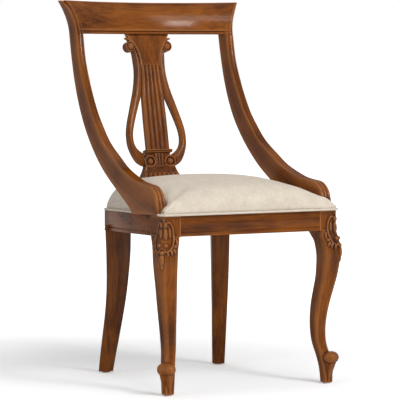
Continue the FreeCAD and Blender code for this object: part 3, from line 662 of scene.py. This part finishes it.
crestProfile = [(crest["thickness"] - 1, crest["low"]), (8, crest["low"])]
for k in range(11):
    angle = radians(-80 + 160 * k / 10)
    crestProfile.append((1.6 - 3.2 * cos(angle), crest["low"] + crest["bead"] * (1 + sin(angle))))
grooveTop = crest["low"] + 2 * crest["bead"]
crestProfile += [(3.2, grooveTop + 0.5), (3.6, grooveTop + 1.4), (2.0, grooveTop + 2.2)]
crestProfile += [(crestFace(h), h) for h in [mix(grooveTop + 4, 925, k / 16) for k in range(17)]]
topFront = crestFace(928)
crestProfile += [(topFront + 0.3, 928.4), (topFront + 1.4, 930.0), (topFront + 2.6, crest["tip"])]
topBack = crestFace(930) + crest["topThickness"]
crestProfile += [(topBack - 1.2, crest["tip"]), (topBack - 0.3, 930.0), (topBack, 928.8)]
crestProfile += [(mix(topBack, crest["thickness"], k / 8), mix(928.8, 850, k / 8)) for k in range(1, 9)]

rings = []
tipX = crestEnd(crest["tip"])
for k in range(crest["stations"] + 1):
    share = -1 + 2 * k / crest["stations"]
    ring = []
    for offset, height in crestProfile:
        x = crestEnd(height) * share
        drop = crest["dip"] * (1 - (x / tipX) ** 2)
        z = crest["low"] + (height - crest["low"]) * (1 - drop / (crest["tip"] - crest["low"]))
        radius = crest["radius"] + offset
        ring.append(place(x, crest["front"] - crest["radius"] + sqrt(radius ** 2 - x ** 2), z))
    rings.append(ring)
piece = newPiece("crestRail", [loft(rings)])
shade(piece, 30)
# hollows and ridges for the painted shade and the painted highlight along the bead and edges
markHollows(piece, 2, 0.0006)
finishPiece(piece, "across", "mahogany", "crest_rail")
print("crest rail ready")

# Lyre: everything is drawn on a board that leans back

lyre = {
    "foot": 202.5, "lean": radians(12), "voxel": 0.9, "strings": 5, "stringDepth": 3.2, "stringTop": 359,
    "gadroons": 8, "gadroonDepth": 4.4, "gadroonTop": 500, "neckReeds": 3, "neckDepth": 1.6,
    "armCrown": 5.6, "armBack": 16.5,
}


def onLyre(x, level, depth):
    # across, up along the board, and behind its front face
    c, s = cos(lyre["lean"]), sin(lyre["lean"])
    return place(x, lyre["foot"] + level * s + depth * c, chair["railTop"] + level * c - depth * s)


def boardRing(spot, half, level, front, back, steps, backSteps=8, inset=0.0):
    # across a board's shaped front, whose depth is front(share), and back along its plain rear
    ring = [spot(mix(-half, half, k / steps), level, front(k / steps)) for k in range(steps + 1)]
    return ring + [spot(mix(half, -half, mix(inset, 1 - inset, k / backSteps)), level, back)
                   for k in range(backSteps + 1)]


def bar(stationsList, crown, back):
    # a bar between two edges: each station is (inner x, inner level, outer x, outer level)
    rings = []
    for x0, s0, x1, s1 in stationsList:
        ring = [onLyre(mix(x0, x1, u), mix(s0, s1, u), crown * abs(2 * u - 1) ** 2.4)
                for u in (k / 18 for k in range(19))]
        ring += [onLyre(mix(x0, x1, u), mix(s0, s1, u), back)
                 for u in (mix(0.04, 0.96, 1 - k / 6) for k in range(7))]
        rings.append(ring)
    return loft(rings)


def volute(x, level, radius, profile, back, mirror):
    # a turned scroll end: profile is (radius, depth) from the middle outwards
    return loft([[onLyre(x + mirror * r * c, level + r * s, depth) for c, s in circle(40)]
                 for r, depth in profile + [(radius, back - 1), (radius - 1, back), (0.2, back)]])


def rollAlong(line, count, sign, radii):
    # a round bar through (x, level, depth) places of the lyre
    return tube([onLyre(sign * x, s, d) for x, s, d in smoothLine(line, count)], radii)


panelEdge = [(62, 443), (60, 436), (55, 427), (46.8, 419), (36, 404), (29.5, 387), (25.8, 366), (26.2, 327),
             (31, 276), (32.5, 220), (32.6, 180), (32.6, 137)]
panelWidths = sorted((s, x) for x, s in panelEdge)


def panelRing(level):
    half = valueAt(panelWidths, level)
    strings = min(1.0, max(0.0, (lyre["stringTop"] - level) / 3))

    def front(u):
        reed = lyre["stringDepth"] * reeded(lyre["strings"], u)
        edge = min(u, 1 - u) * 2 * half
        return 0.8 + strings * reed + 1.2 * max(0.0, 1 - edge / 1.5) ** 2
    return boardRing(onLyre, half, level, front, 15.5, 60, inset=0.02)


levels = sorted(set([133 + k * 3.0 for k in range(104)] + [356.5, 357, 357.5, 358, 358.5, 359.2]))
piece = newPiece("lyrePanel", [loft([panelRing(level) for level in levels])])
shade(piece, 38)
# hollows and ridges for the painted shade between the strings and the painted highlight on them
markHollows(piece, 4, 0.0007)
finishPiece(piece, "upright", "mahogany", "lyre_panel")

armPairs = [
    (37, 404, 52, 408), (30.5, 388, 46.5, 393), (25.8, 372, 44.6, 374), (25.2, 350, 43.6, 350),
    (26.5, 327, 45.2, 327), (30, 300, 50.4, 302), (34.5, 276, 56.4, 280), (41.5, 257.5, 61.6, 264),
    (50, 235, 68.6, 241), (59, 209.5, 77.2, 213), (65, 189, 82.4, 191), (67.2, 171, 84, 171),
    (65, 154, 82.6, 150), (57.5, 141, 75, 127), (48, 133.5, 64, 108.5), (39, 128, 50, 98.5), (34, 122, 38, 96),
]
bossTop = [(0.2, -5.9), (3, -5.6), (6, -4.5), (8.2, -2.7), (9.6, -0.5), (10.2, 0.1), (10.8, -0.3), (11.4, -1.9),
           (12.2, -2.9), (13, -2.7), (13.6, -1.1)]
bossLow = [(0.2, -6.0), (3.2, -5.4), (6.2, -3.6), (8.2, -0.8), (9.2, 1.8), (9.8, 2.6), (10.8, 2.4), (11.6, 0.4),
           (12.6, -1.8), (14.2, -2.6), (15.8, -1.4), (16.6, 1.0)]
armRoll = [(64, 426, 1), (61, 425.5, 0), (56.5, 423.5, -0.6), (49.5, 418.5, -1), (42.5, 410.5, -1),
           (36, 400, -0.6), (31, 387, -0.3), (28, 372, 0), (27.2, 350, 1.2)]
earLeaf = [(50, 420, 9), (56, 424.5, 7), (61, 426.5, 6), (65.5, 426, 6)]
rollRadii = [mix(1.1, 2.6, ease(0, 0.25, k / 39)) * (1 - 0.35 * ease(0.5, 1, k / 39)) for k in range(40)]
earRadii = [mix(5.5, 2.2, k / 13) for k in range(14)]
for side, sign in sides.items():
    name = "lyreArm" + side.capitalize()
    armLine = [(sign * a, b, sign * c, d) for a, b, c, d in smoothLine(armPairs, 90)]
    parts = [
        bar(armLine, lyre["armCrown"], lyre["armBack"]),
        volute(sign * 52, 406, 13.6, bossTop, 21, sign),
        volute(sign * 28.6, 108, 16.4, bossLow, 18, sign),
        rollAlong(armRoll, 40, sign, rollRadii),
        rollAlong(earLeaf, 14, sign, earRadii),
    ]
    piece = carved(name, parts, lyre["voxel"])
    finishPiece(piece, "upright", "mahogany", "lyre_arm_" + side)

collarProfile = [(20.5, 0), (-1.6, 0), (-3.4, 0.5), (-4.2, 1.8), (-3.6, 2.9), (-2.2, 3.6), (-3.6, 4.2), (-5.2, 5.2),
                 (-5.4, 6.6), (-4.4, 7.9), (-2.5, 8.5), (20.5, 8.5), (21.8, 7.2), (22, 4.2), (21.8, 1.4)]
rings = []
for share in (-1 + 2 * k / 24 for k in range(25)):
    ends = 1 - 0.035 * max(0.0, abs(share) - 0.95) / 0.05
    rings.append([onLyre(36 * share, 131 + mix(4.2, level, ends), mix(9, depth, ends))
                  for depth, level in collarProfile])
piece = newPiece("lyreCollar", [loft(rings)])
shade(piece, 40)
# hollows and ridges for the painted shade and the painted highlight on the mouldings
markHollows(piece, 2, 0.0004)
finishPiece(piece, "across", "mahogany", "lyre_collar")

# each level of the foot: height, half width, front, back
footLevels = [
    (517, 41.5, 222.8, 241.5), (512.9, 43, 221.9, 240.3), (505, 45.5, 219.5, 239), (498, 49, 217, 237.5),
    (484, 57.5, 210, 234), (468, 63.5, 203, 229), (455, 68, 196, 224), (426, 73, 186, 213), (409, 74, 183, 210),
]


def footRing(z, half, front, back):
    gadroons = min(1.0, max(0.0, (lyre["gadroonTop"] - z) / 5))

    def face(u):
        depth = gadroons * lyre["gadroonDepth"] * reeded(lyre["gadroons"], u)
        depth += 2.0 * max(0.0, 1 - min(u, 1 - u) * 2 * half / 3) ** 2
        return front + depth - lyre["gadroonDepth"] / 2 * gadroons
    return boardRing(lambda x, level, y: place(x, y, level), half, z, face, back, 96, inset=0.01)


def neckRing(level):
    half = mix(16, 12.2, ease(84, 104, level))
    return boardRing(onLyre, half, level,
                     lambda u: lyre["neckDepth"] + lyre["neckDepth"] * reeded(lyre["neckReeds"], u), 17.5, 32, 4)


forward = (onLyre(0, 95.5, -1) - onLyre(0, 95.5, 0)).normalized()
studAxes = [Vector((0.0028, 0, 0)), forward.cross(Vector((1, 0, 0))) * 0.0028, forward * 0.0034]
parts = [
    loft([footRing(*station) for station in smoothLine(footLevels, 60)]),
    loft([neckRing(84 + k) for k in range(47)]),
    ball(onLyre(0, 95.5, 0.6), studAxes),
    loft([[onLyre(x, level, d) for x, d in ((-34, 6), (34, 6), (34, 17), (-34, 17))] for level in (92, 132)]),
]
finishPiece(carved("lyreBase", parts, lyre["voxel"]), "upright", "mahogany", "lyre_base")
print("lyre ready")

# Front legs: cabriole curve, block, whorl foot and the carved knee, melted into one piece

cabriole = {
    "centreX": 213.0, "centreY": -209.0, "voxel": 1.1, "corner": 0.23, "blockInner": 190.0,
    # height, outwards, forwards, side of the square, ear
    "levels": [(376, 1, 1, 48, 19), (372, 2, 2, 49, 18), (357, 5.5, 5, 50.5, 8), (343, 8.5, 7, 50.5, 1.5),
               (314, 10.6, 10, 49, 0), (285, 9.2, 8.8, 46.2, 0), (257, 6.4, 6, 43.3, 0), (226, 2, 0, 40.9, 0),
               (198, -2, -5.3, 38.4, 0), (169, -5.1, -8.8, 35.4, 0), (140, -6.8, -9.8, 32.4, 0),
               (112, -6.6, -7.7, 30.2, 0), (93, -4.6, -4.2, 29, 0), (70, 0, 2.5, 28.4, 0), (45, 3.4, 8.5, 27.4, 0),
               (22, 4.8, 10.8, 25.9, 0), (3, 5.2, 11.4, 24.4, 0)],
    "toe": (13.2, 19.6, 63.0), "toeHigh": 15.2, "toeDeep": 18.4, "toeHalf": 21.5,
    # the web under the scroll: height, share of the way from the peg to the toe, half length, half depth
    "web": [(62, 0.95, 16.5, 14), (52, 0.80, 16.2, 14), (43, 0.60, 15.0, 13.4), (32, 0.34, 13.6, 12.6),
            (18, 0.12, 12.4, 11.8), (4, 0.0, 11.8, 11.4)],
}

carving = {
    "wrap": 34.0,       # the carving is laid round the corner on this radius
    "tubeScale": 1.25,
    # each line: points of (across from the corner, height), then the radius at its start, middle and end
    "scrolls": [
        ([(5, 399), (9, 405), (16, 405.5), (23, 400), (28, 390), (29.5, 376), (27.5, 362), (22, 349), (14, 340),
          (7, 337.5), (4.5, 342)], (1.2, 2.1, 1.7)),
        ([(33, 350), (36.5, 357), (36, 366), (32.5, 368)], (1.2, 2.2, 1.0)),
        ([(25, 345), (28.5, 340), (30.5, 334)], (2.2, 3.0, 1.0)),
        ([(17.5, 342), (20.5, 337), (21.5, 330.5)], (2.2, 3.0, 1.0)),
        ([(9.5, 338), (11.5, 333), (11, 327)], (1.8, 2.6, 0.8)),
    ],
    # each bump: across, height, then its half width, its half height and how proud it stands
    "lobes": [(5.2, 378, 5.4, 15.0, 6.2), (5.2, 400, 4.8, 7.0, 6.0), (16.5, 377, 4.6, 15.5, 2.8),
              (6.8, 353.0, 5.0, 5.0, 5.0), (30.5, 350.0, 4.4, 4.4, 4.4)],
    "husk": [(0.0, 336.0, 6.0, 5.4, 5.0), (0.0, 320.0, 5.6, 13.5, 4.6), (0.0, 305.0, 3.2, 8.0, 2.4)],
}


def legSection(sign, height, out, forward, square, ear):
    cx = cabriole["centreX"] + out
    cy = cabriole["centreY"] - forward + ear / 2
    return [place(sign * (cx + x), cy + y, height)
            for x, y in roundedBox(square / 2, (square + ear) / 2, cabriole["corner"] * square, 8)]


def surfaceFinder(parts, sign):
    # gives the point and outward direction of the leg's surface at a place of the carving
    tree = BVHTree.FromPolygons(*joined(parts))

    def find(across, height):
        angle = radians(-45) + across / carving["wrap"]
        outwards = Vector((sign * cos(angle), sin(angle), 0))
        centre = place(sign * cabriole["centreX"], cabriole["centreY"], height)
        hit, _, _, _ = tree.ray_cast(centre + outwards * 0.12, -outwards)
        return hit or centre + outwards * 0.03, outwards
    return find


def toePad(middle, along, outwards, up):
    half, deep, high = (cabriole[key] / 1000 for key in ("toeHalf", "toeDeep", "toeHigh"))
    rings = []
    for k in range(-16, 17):
        offset = sin(pi / 2 * k / 16.3)
        share = (1 - abs(offset) ** 2.6) ** (1 / 2.6)
        rings.append([middle + along * half * offset + (outwards * c * deep + up * s * high) * share
                      for c, s in circle(32)])
    return loft(rings)


def toeWeb(spotAt, along, outwards):
    rings = []
    for height, share, long, deep in smoothLine(cabriole["web"], 24):
        centre = spotAt(share, height)
        rings.append([centre + along * (copysign(abs(c) ** 0.6, c) * long / 1000)
                      + outwards * (copysign(abs(s) ** 0.6, s) * deep / 1000) for c, s in circle(32)])
    return loft(rings)


def legParts(sign):
    block = (cabriole["blockInner"], chair["frontHalf"])
    xs = sorted(sign * x for x in block)
    along = Vector((sign * sqrt(0.5), sqrt(0.5), 0))
    outwards = Vector((sign * sqrt(0.5), -sqrt(0.5), 0))
    up = Vector((0, 0, 1))
    toeOut, toeForward, toeHeight = cabriole["toe"]
    _, pegOut, pegForward, _, _ = cabriole["levels"][-1]

    def fromPeg(share, height):
        return place(sign * (cabriole["centreX"] + mix(pegOut, toeOut, share)),
                     cabriole["centreY"] - mix(pegForward, toeForward, share), height)

    parts = [
        loft([legSection(sign, *station) for station in smoothLine(cabriole["levels"], 130)]),
        boxSolid((xs[0], chair["frontFace"], 371.5), (xs[1], chair["blockRear"], chair["railTop"])),
        toePad(fromPeg(1, toeHeight), along, outwards, up),
        toeWeb(fromPeg, along, outwards),
    ]
    find = surfaceFinder(parts, sign)
    bumps = []
    for mirror in (-1, 1):
        for points, (r0, r1, r2) in carving["scrolls"]:
            path = []
            for across, height in smoothLine(points, 44):
                hit, outwards = find(mirror * across, height)
                path.append(hit + outwards * 0.0006)
            radii = [carving["tubeScale"] * valueAt([(0, r0), (0.5, r1), (1, r2)], k / 43) for k in range(44)]
            parts.append(tube(path, radii))
        bumps += [(mirror * across, *rest) for across, *rest in carving["lobes"]]
    for across, height, wide, tall, proud in bumps + carving["husk"]:
        hit, outwards = find(across, height)
        parts.append(ball(hit, [outwards.cross(up) * wide / 1000, up * tall / 1000, outwards * proud / 1000]))
    return parts


for side, sign in sides.items():
    piece = carved("front" + side.capitalize() + "Leg", legParts(sign), cabriole["voxel"])
    finishPiece(piece, "upright", "mahogany", f"front_{side}_leg")
print("front legs ready")

# Rear legs: plain sabre legs with rounded corners

sabre = {
    "x": 145.5, "y": 175.5, "turn": radians(24), "corner": 4.0,
    # height, backwards, width, depth
    "levels": [(372, 0, 46.5, 48.5), (358, 0, 46.5, 48.5), (300, -0.5, 44.5, 46), (237, 2.5, 42.5, 40),
               (190, 7, 40.5, 36.3), (145, 14, 38, 33.5), (100, 22.5, 35.8, 31.3), (50, 32.2, 33, 28.8),
               (3, 40.5, 30.5, 26.5)],
}
for side, sign in sides.items():
    rings = []
    c, s = cos(sabre["turn"]), sin(sabre["turn"])
    for height, backwards, width, depth in smoothLine(sabre["levels"], 70):
        rings.append([place(sign * (sabre["x"] + u * c + (backwards + v) * s),
                            sabre["y"] - u * s + (backwards + v) * c, height)
                      for u, v in roundedBox(width / 2, depth / 2, sabre["corner"], 6)])
    piece = newPiece("rear" + side.capitalize() + "Leg", [loft(rings)])
    shade(piece, 40)
    finishPiece(piece, "upright", "mahogany", f"rear_{side}_leg")
print("rear legs ready")

# Seat: a domed pad between the stiles, swelled by a short cloth simulation

seat = {
    "voxel": 0.005, "pressure": 4.0, "cap": 0.0035, "grid": 7.0, "frames": 20,
    "front": -238.0, "half": 238.0, "rear": 202.0, "shoulder": 213.0,
    "edgeRound": 30.0, "sideRound": 46.0, "pressedRound": 7.0, "cornerRound": 11.0,
    # height of the seat along its middle and along its sides: (y, z)
    "middle": [(-240, 474), (-200, 483), (-150, 490), (-100, 495), (-50, 498.5), (0, 500), (50, 498.5), (100, 493),
               (150, 485), (181, 479), (204, 474)],
    "side": [(-240, 455), (-199, 458), (-153, 461), (-107, 465), (-59, 471), (-11, 476), (37, 478), (80, 477),
             (120, 474), (160, 468), (204, 461)],
    # front face of the stile's knuckle, which the linen in front of it lies against: (z, y)
    "knuckle": [(420, -212.5), (436, -209.8), (449, -206.3), (462, -202), (475, -193)],
    "cloth": {"quality": 6, "mass": 0.25, "tension_stiffness": 18, "compression_stiffness": 18,
              "bending_stiffness": 4.0, "use_pressure": True, "vertex_group_mass": "tacked"},
}
stileOutline = [a for a, _ in stilePairs] + [b for _, b in reversed(stilePairs)]


def insideOutline(outline, x, y):
    inside = False
    for (x0, y0), (x1, y1) in zip(outline, outline[1:] + outline[:1]):
        if (y0 > y) != (y1 > y) and x < (x1 - x0) * (y - y0) / (y1 - y0) + x0:
            inside = not inside
    return inside


def roundedCorner(corner, before, after, radius, steps=6):
    corner, before, after = Vector(corner), Vector(before), Vector(after)
    a = corner + (before - corner).normalized() * radius
    b = corner + (after - corner).normalized() * radius
    return [tuple(a * (1 - t) ** 2 + corner * 2 * t * (1 - t) + b * t * t)
            for t in (k / steps for k in range(steps + 1))]


def seatPlan():
    # half of the outline, from the middle of the front round to the middle of the back
    front, half, rear = seat["front"], seat["half"], seat["rear"]
    notchX = stileInner(-213) - 0.6
    line = [(0.0, front)]
    line += roundedCorner((half, front), (0, front), (half, -200), 10)
    line += [(half, -216.5), (half - 2, -215.5)]
    line += [(notchX + 2, -215.5), (notchX, -213)]
    line += [(stileInner(y) - 0.6, y) for y in range(-205, -60, 10)]
    line += [(sideLine(y) - 1, y) for y in range(-55, 175, 10)]
    line += roundedCorner((sideLine(rear) - 1, rear), (sideLine(100), 100), (0, rear), 14)
    line += [(78, rear), (77, 190), (76, 181), (0, 181)]
    return line


def lineDistance(x, y, a, b):
    ax, ay = a
    bx, by = b
    length = (bx - ax) ** 2 + (by - ay) ** 2
    t = 0.0 if length == 0 else min(1.0, max(0.0, ((x - ax) * (bx - ax) + (y - ay) * (by - ay)) / length))
    return hypot(x - ax - t * (bx - ax), y - ay - t * (by - ay))


halfPlan = seatPlan()


def seatTop(x, y):
    shoulder = seat["shoulder"]
    across = abs(x) / shoulder
    height = mix(valueAt(seat["middle"], y), valueAt(seat["side"], y), min(1.0, across) ** 2.4)
    if across > 1:
        height -= (abs(x) - shoulder) * 0.85
    drop = 0.0
    for a, b in zip(halfPlan, halfPlan[1:]):
        middle = (a[1] + b[1]) / 2
        pressed = (-214 < middle < -50 and a[0] > 100) or (middle > 178 and a[0] < 79)
        free = mix(seat["edgeRound"], seat["sideRound"], ease(-60, 0, middle))
        radius = seat["pressedRound"] if pressed else free
        if y < -200:
            # the corner in front of the stile's knuckle stays full
            radius = mix(radius, seat["cornerRound"] * (0.4 if pressed else 1), ease(196, 212, abs(x)))
        gap = lineDistance(abs(x), y, a, b)
        if gap < radius:
            drop = max(drop, radius - sqrt(radius ** 2 - (radius - gap) ** 2))
    return height - drop


def seatSolid():
    outline = []
    full = halfPlan + [(-x, y) for x, y in reversed(halfPlan[1:-1])]
    for a, b in zip(full, full[1:] + full[:1]):
        steps = max(1, round(dist(a, b) / seat["grid"]))
        outline += [Vector((mix(a[0], b[0], k / steps), mix(a[1], b[1], k / steps))) for k in range(steps)]
    count = len(outline)
    edges = [(i, (i + 1) % count) for i in range(count)]
    plan = [(p.x, p.y) for p in outline]
    planEdges = list(zip(plan, plan[1:] + plan[:1]))
    points = list(outline)
    y = seat["front"] + 4
    while y < seat["rear"]:
        x = -seat["half"]
        while x < seat["half"]:
            if insideOutline(plan, x, y) and min(lineDistance(x, y, a, b) for a, b in planEdges) > 3:
                points.append(Vector((x, y)))
            x += seat["grid"]
        y += seat["grid"]
    flat, _, triangles, _, _, _ = delaunay_2d_cdt(points, edges, [], 1, 1e-4)
    top = [place(p.x, p.y, max(seatLevel(p.y) + 6, seatTop(p.x, p.y))) for p in flat]
    bottom = [place(p.x, p.y, seatLevel(p.y) + 0.6) for p in flat]
    n = len(flat)
    faces = [tuple(t) for t in triangles] + [tuple(n + i for i in reversed(t)) for t in triangles]
    links = {}
    for t in triangles:
        for a, b in zip(t, t[1:] + t[:1]):
            links[(a, b)] = True
    faces += [(a, n + a, n + b, b) for a, b in links if (b, a) not in links]
    return top + bottom, faces


def riseOf(point):
    # height in millimetres above the seat frame
    return point.z * 1000 - seatLevel((point.y - datumY) * 1000)


def keepClear(thing):
    # presses the cloth against the stiles, the lyre's foot and the seat frame instead of letting it through
    for vertex in thing.data.vertices:
        x, y, z = vertex.co.x * 1000, (vertex.co.y - datumY) * 1000, vertex.co.z * 1000
        if insideOutline(stileOutline, y, z):
            x = copysign(min(abs(x), stileInner(y) - 0.4), x)
        if y < -212 and abs(x) > stileInner(y):
            y = min(y, valueAt(seat["knuckle"], z) - 0.6)
        if abs(x) < 75 and y > 181:
            y = 181.0
        vertex.co = place(x, y, max(z, seatLevel(y) + 0.4))


def swell(thing):
    scene = bpy.context.scene
    pins = thing.vertex_groups.new(name="tacked")
    low = [v.index for v in thing.data.vertices if riseOf(v.co) < 5]
    pins.add(low, 1.0, "REPLACE")
    cloth = modifier(thing, "swell", "CLOTH")
    for key, value in seat["cloth"].items():
        setattr(cloth.settings, key, value)
    cloth.settings.uniform_pressure_force = seat["pressure"]
    cloth.settings.effector_weights.gravity = 0.0
    cloth.point_cache.frame_start = 1
    cloth.point_cache.frame_end = seat["frames"]
    for step in range(1, seat["frames"] + 1):
        scene.frame_set(step)
    graph = bpy.context.evaluated_depsgraph_get()
    moved = [v.co.copy() for v in thing.evaluated_get(graph).data.vertices]
    thing.modifiers.remove(cloth)
    for vertex, spot in zip(thing.data.vertices, moved):
        step = spot - vertex.co
        if step.length > seat["cap"]:
            step *= seat["cap"] / step.length
        vertex.co = vertex.co + step
    scene.frame_set(1)


cushion = newPiece("seatCushion", [seatSolid()])
modifier(cushion, "melt", "REMESH", mode="VOXEL", voxel_size=seat["voxel"])
modifier(cushion, "sand", "SMOOTH", iterations=4)
applied(cushion)
swell(cushion)
crown = cushion.vertex_groups.new(name="crown")
for vertex in cushion.data.vertices:
    crown.add([vertex.index], ease(20, 40, riseOf(vertex.co)), "REPLACE")
# the cover is tight, so its crown has no creases
modifier(cushion, "calm", "SMOOTH", factor=0.5, iterations=14, vertex_group="crown")
applied(cushion)
keepClear(cushion)
modifier(cushion, "rounding", "SUBSURF", levels=1, render_levels=1)
applied(cushion)
keepClear(cushion)
cushion.vertex_groups.clear()
cushion.data.shade_smooth()
finishPiece(cushion, "linen", "linen", "seat_cover", "seat_foam")
print("cushion ready")

# Self welt along the cushion's lower edge

def weltGroup():
    # a round welt swept along the edges of a line
    group, start, end = newGroup(
        "weltAlongLine", "GeometryNodeTree",
        [("Line", "Geometry", None), ("Radius", "Float", 0.0026), ("Sides", "Int", 12), ("Finish", "Material", None)],
        [("Geometry", "Geometry")])
    curve = addNode(group, "GeometryNodeMeshToCurve", Mesh=start["Line"])
    ring = addNode(group, "GeometryNodeCurvePrimitiveCircle", Resolution=start["Sides"], Radius=start["Radius"])
    sweep = addNode(group, "GeometryNodeCurveToMesh", Curve=curve.outputs["Curve"])
    fillAll(group, sweep, {"Fill Caps": True, "Profile Curve": ring.outputs["Curve"]})
    smooth = addNode(group, "GeometryNodeSetShadeSmooth", Geometry=sweep.outputs["Mesh"])
    real = addNode(group, "GeometryNodeRealizeInstances", Geometry=smooth.outputs["Geometry"])
    dress = addNode(group, "GeometryNodeSetMaterial", Geometry=real.outputs["Geometry"], Material=start["Finish"])
    fillAll(group, end, {"Geometry": dress.outputs["Geometry"]})
    return group


welt = {
    "radius": 2.6, "lift": 3.2,
    # plan of the front run from the right knuckle to the middle
    "front": [(stileInner(-212) + 1, -213.4), (232, -213.8), (240.5, -215.2), (242.5, -219.5), (241.5, -229),
              (236, -238), (225, -241.6), (160, -242), (80, -242), (0, -242)],
    # plan of the right run from the stile round to the lyre's foot
    "side": [(stileInner(-58) + 4, -60), (sideLine(-50) + 2, -50), (sideLine(50) + 2, 50), (sideLine(150) + 2, 150),
             (sideLine(190) + 1.5, 190), (sideLine(204) - 3, 204.5), (150, 206), (110, 206), (78, 206)],
}
frontLine = welt["front"] + [(-x, y) for x, y in reversed(welt["front"][:-1])]
points, links = [], []
for line, count, sign in ((frontLine, 150, 1), (welt["side"], 110, -1), (welt["side"], 110, 1)):
    run = [tuple(place(sign * x, y, seatLevel(y) + welt["lift"])) for x, y in smoothLine(line, count)]
    links += [(len(points) + k, len(points) + k + 1) for k in range(count - 1)]
    points += run
mesh = bpy.data.meshes.new("seatWelt")
mesh.from_pydata(points, links, [])
piece = newObject("seatWelt", mesh)
sewn = modifier(piece, "welt", "NODES", node_group=weltGroup())
weltInputs = {"Radius": welt["radius"] / 1000, "Finish": finishes["linen"]}
for socket in sewn.node_group.interface.items_tree:
    if socket.name in weltInputs:
        sewn[socket.identifier] = weltInputs[socket.name]
applied(piece)
facedOut(piece.data)
finishPiece(piece, "linen", "linen", "seat_welt")

# Pieces that keep their CAD shape

hidden = {
    "block": ("corner_block_front_left", "corner_block_front_right", "corner_block_rear_left",
              "corner_block_rear_right"),
    "steel": ("corner_block_screws", "seat_screws", "crest_screws"),
    "ply": ("seat_board",), "dust": ("dust_cover",), "dowel": ("stile_dowels",), "glide": ("foot_glides",),
}
for finish, nodes in hidden.items():
    for node in nodes:
        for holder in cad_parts[node].material_slots:
            holder.material = finishes[finish]
print("hidden pieces dressed")

# Studio: white floor and soft lamps

studio = {
    "floor": (0.93, 0.93, 0.935, 1), "floorReach": 60.0, "floorGlow": 0.33, "world": 0.20,
    "whiteFrom": (0.42, 1.9),       # the backdrop turns plain white between these distances from the chair
    # name, place, aim, width, height, power
    "lamps": [("keyPanel", (0.9, -3.3, 2.3), (0, 0, 0.5), 0.8, 0.6, 46.0),
              ("broadPanel", (0.3, -3.0, 3.0), (0, 0, 0.5), 3.0, 1.0, 62.0),
              ("leftPanel", (-3.1, -0.9, 1.3), (0, 0, 0.4), 2.0, 1.6, 19.0),
              ("topPanel", (0.1, 0.3, 3.0), (0, 0, 0.4), 1.3, 1.3, 13.0)],
}
white = (1, 1, 1, 1)


def seenDirectly(tree):
    # 1 for rays that show the backdrop, 0 for those that light the chair
    rays = tree.nodes.new("ShaderNodeLightPath").outputs
    seen = mathNode(tree, "MAXIMUM", rays["Is Camera Ray"], rays["Is Glossy Ray"])
    return mathNode(tree, "MAXIMUM", seen, rays["Is Transmission Ray"])


def combined(tree, kind, *sources):
    node = tree.nodes.new(kind)
    for index, source in enumerate(sources):
        fill(tree, node.inputs[index], source)
    return node.outputs[0]


mesh = bpy.data.meshes.new("floor")
reach = studio["floorReach"]
mesh.from_pydata([(-reach, -reach, 0), (reach, -reach, 0), (reach, reach, 0), (-reach, reach, 0)], [], [(0, 1, 2, 3)])
floor = newObject("floor", mesh)
material, tree, shader = freshMaterial("whiteFloor")
tree.nodes.remove(shader)
matt = addNode(tree, "ShaderNodeBsdfDiffuse", Color=studio["floor"])
away = addNode(tree, "ShaderNodeVectorMath", operation="LENGTH")
fill(tree, away.inputs[0], objectPlace(tree))
far = ramp(tree, away.outputs["Value"], *studio["whiteFrom"])
level = plus(tree, studio["floorGlow"], times(tree, far, 1 - studio["floorGlow"]))
glow = addNode(tree, "ShaderNodeEmission", Color=white, Strength=times(tree, seenDirectly(tree), level))
both = combined(tree, "ShaderNodeAddShader", matt.outputs[0], glow.outputs[0])
fillAll(tree, tree.nodes["Material Output"], {"Surface": both})
mesh.materials.append(material)

world = bpy.data.worlds.new("studio")
bpy.context.scene.world = world
world.use_nodes = True
tree = world.node_tree
sky = tree.nodes["Background"]
fillAll(tree, sky, {"Color": white, "Strength": studio["world"]})
bright = addNode(tree, "ShaderNodeBackground", Color=white, Strength=1.0)
blend = combined(tree, "ShaderNodeMixShader", seenDirectly(tree), sky.outputs[0], bright.outputs[0])
fillAll(tree, tree.nodes["World Output"], {"Surface": blend})

for name, spot, aim, width, height, power in studio["lamps"]:
    lamp = bpy.data.lights.new(name, "AREA")
    lamp.shape = "RECTANGLE"
    lamp.size = width
    lamp.size_y = height
    lamp.energy = power
    panel = newObject(name, lamp)
    panel.location = spot
    panel.rotation_euler = (Vector(aim) - Vector(spot)).to_track_quat("-Z", "Y").to_euler()

lens = {"spot": (-2.7595, datumY - 4.9544, 0.7884), "pitch": 86.48, "yaw": -29.03, "focal": 208.6,
        "sensor": 36.0, "reach": 300}
view = bpy.data.cameras.new("photoView")
view.sensor_width = lens["sensor"]
view.lens = lens["focal"]
view.clip_end = lens["reach"]
camera = newObject("photoView", view)
camera.location = lens["spot"]
camera.rotation_euler = (radians(lens["pitch"]), 0, radians(lens["yaw"]))
bpy.context.scene.camera = camera
bpy.context.scene.view_settings.view_transform = "Standard"
print("studio ready")
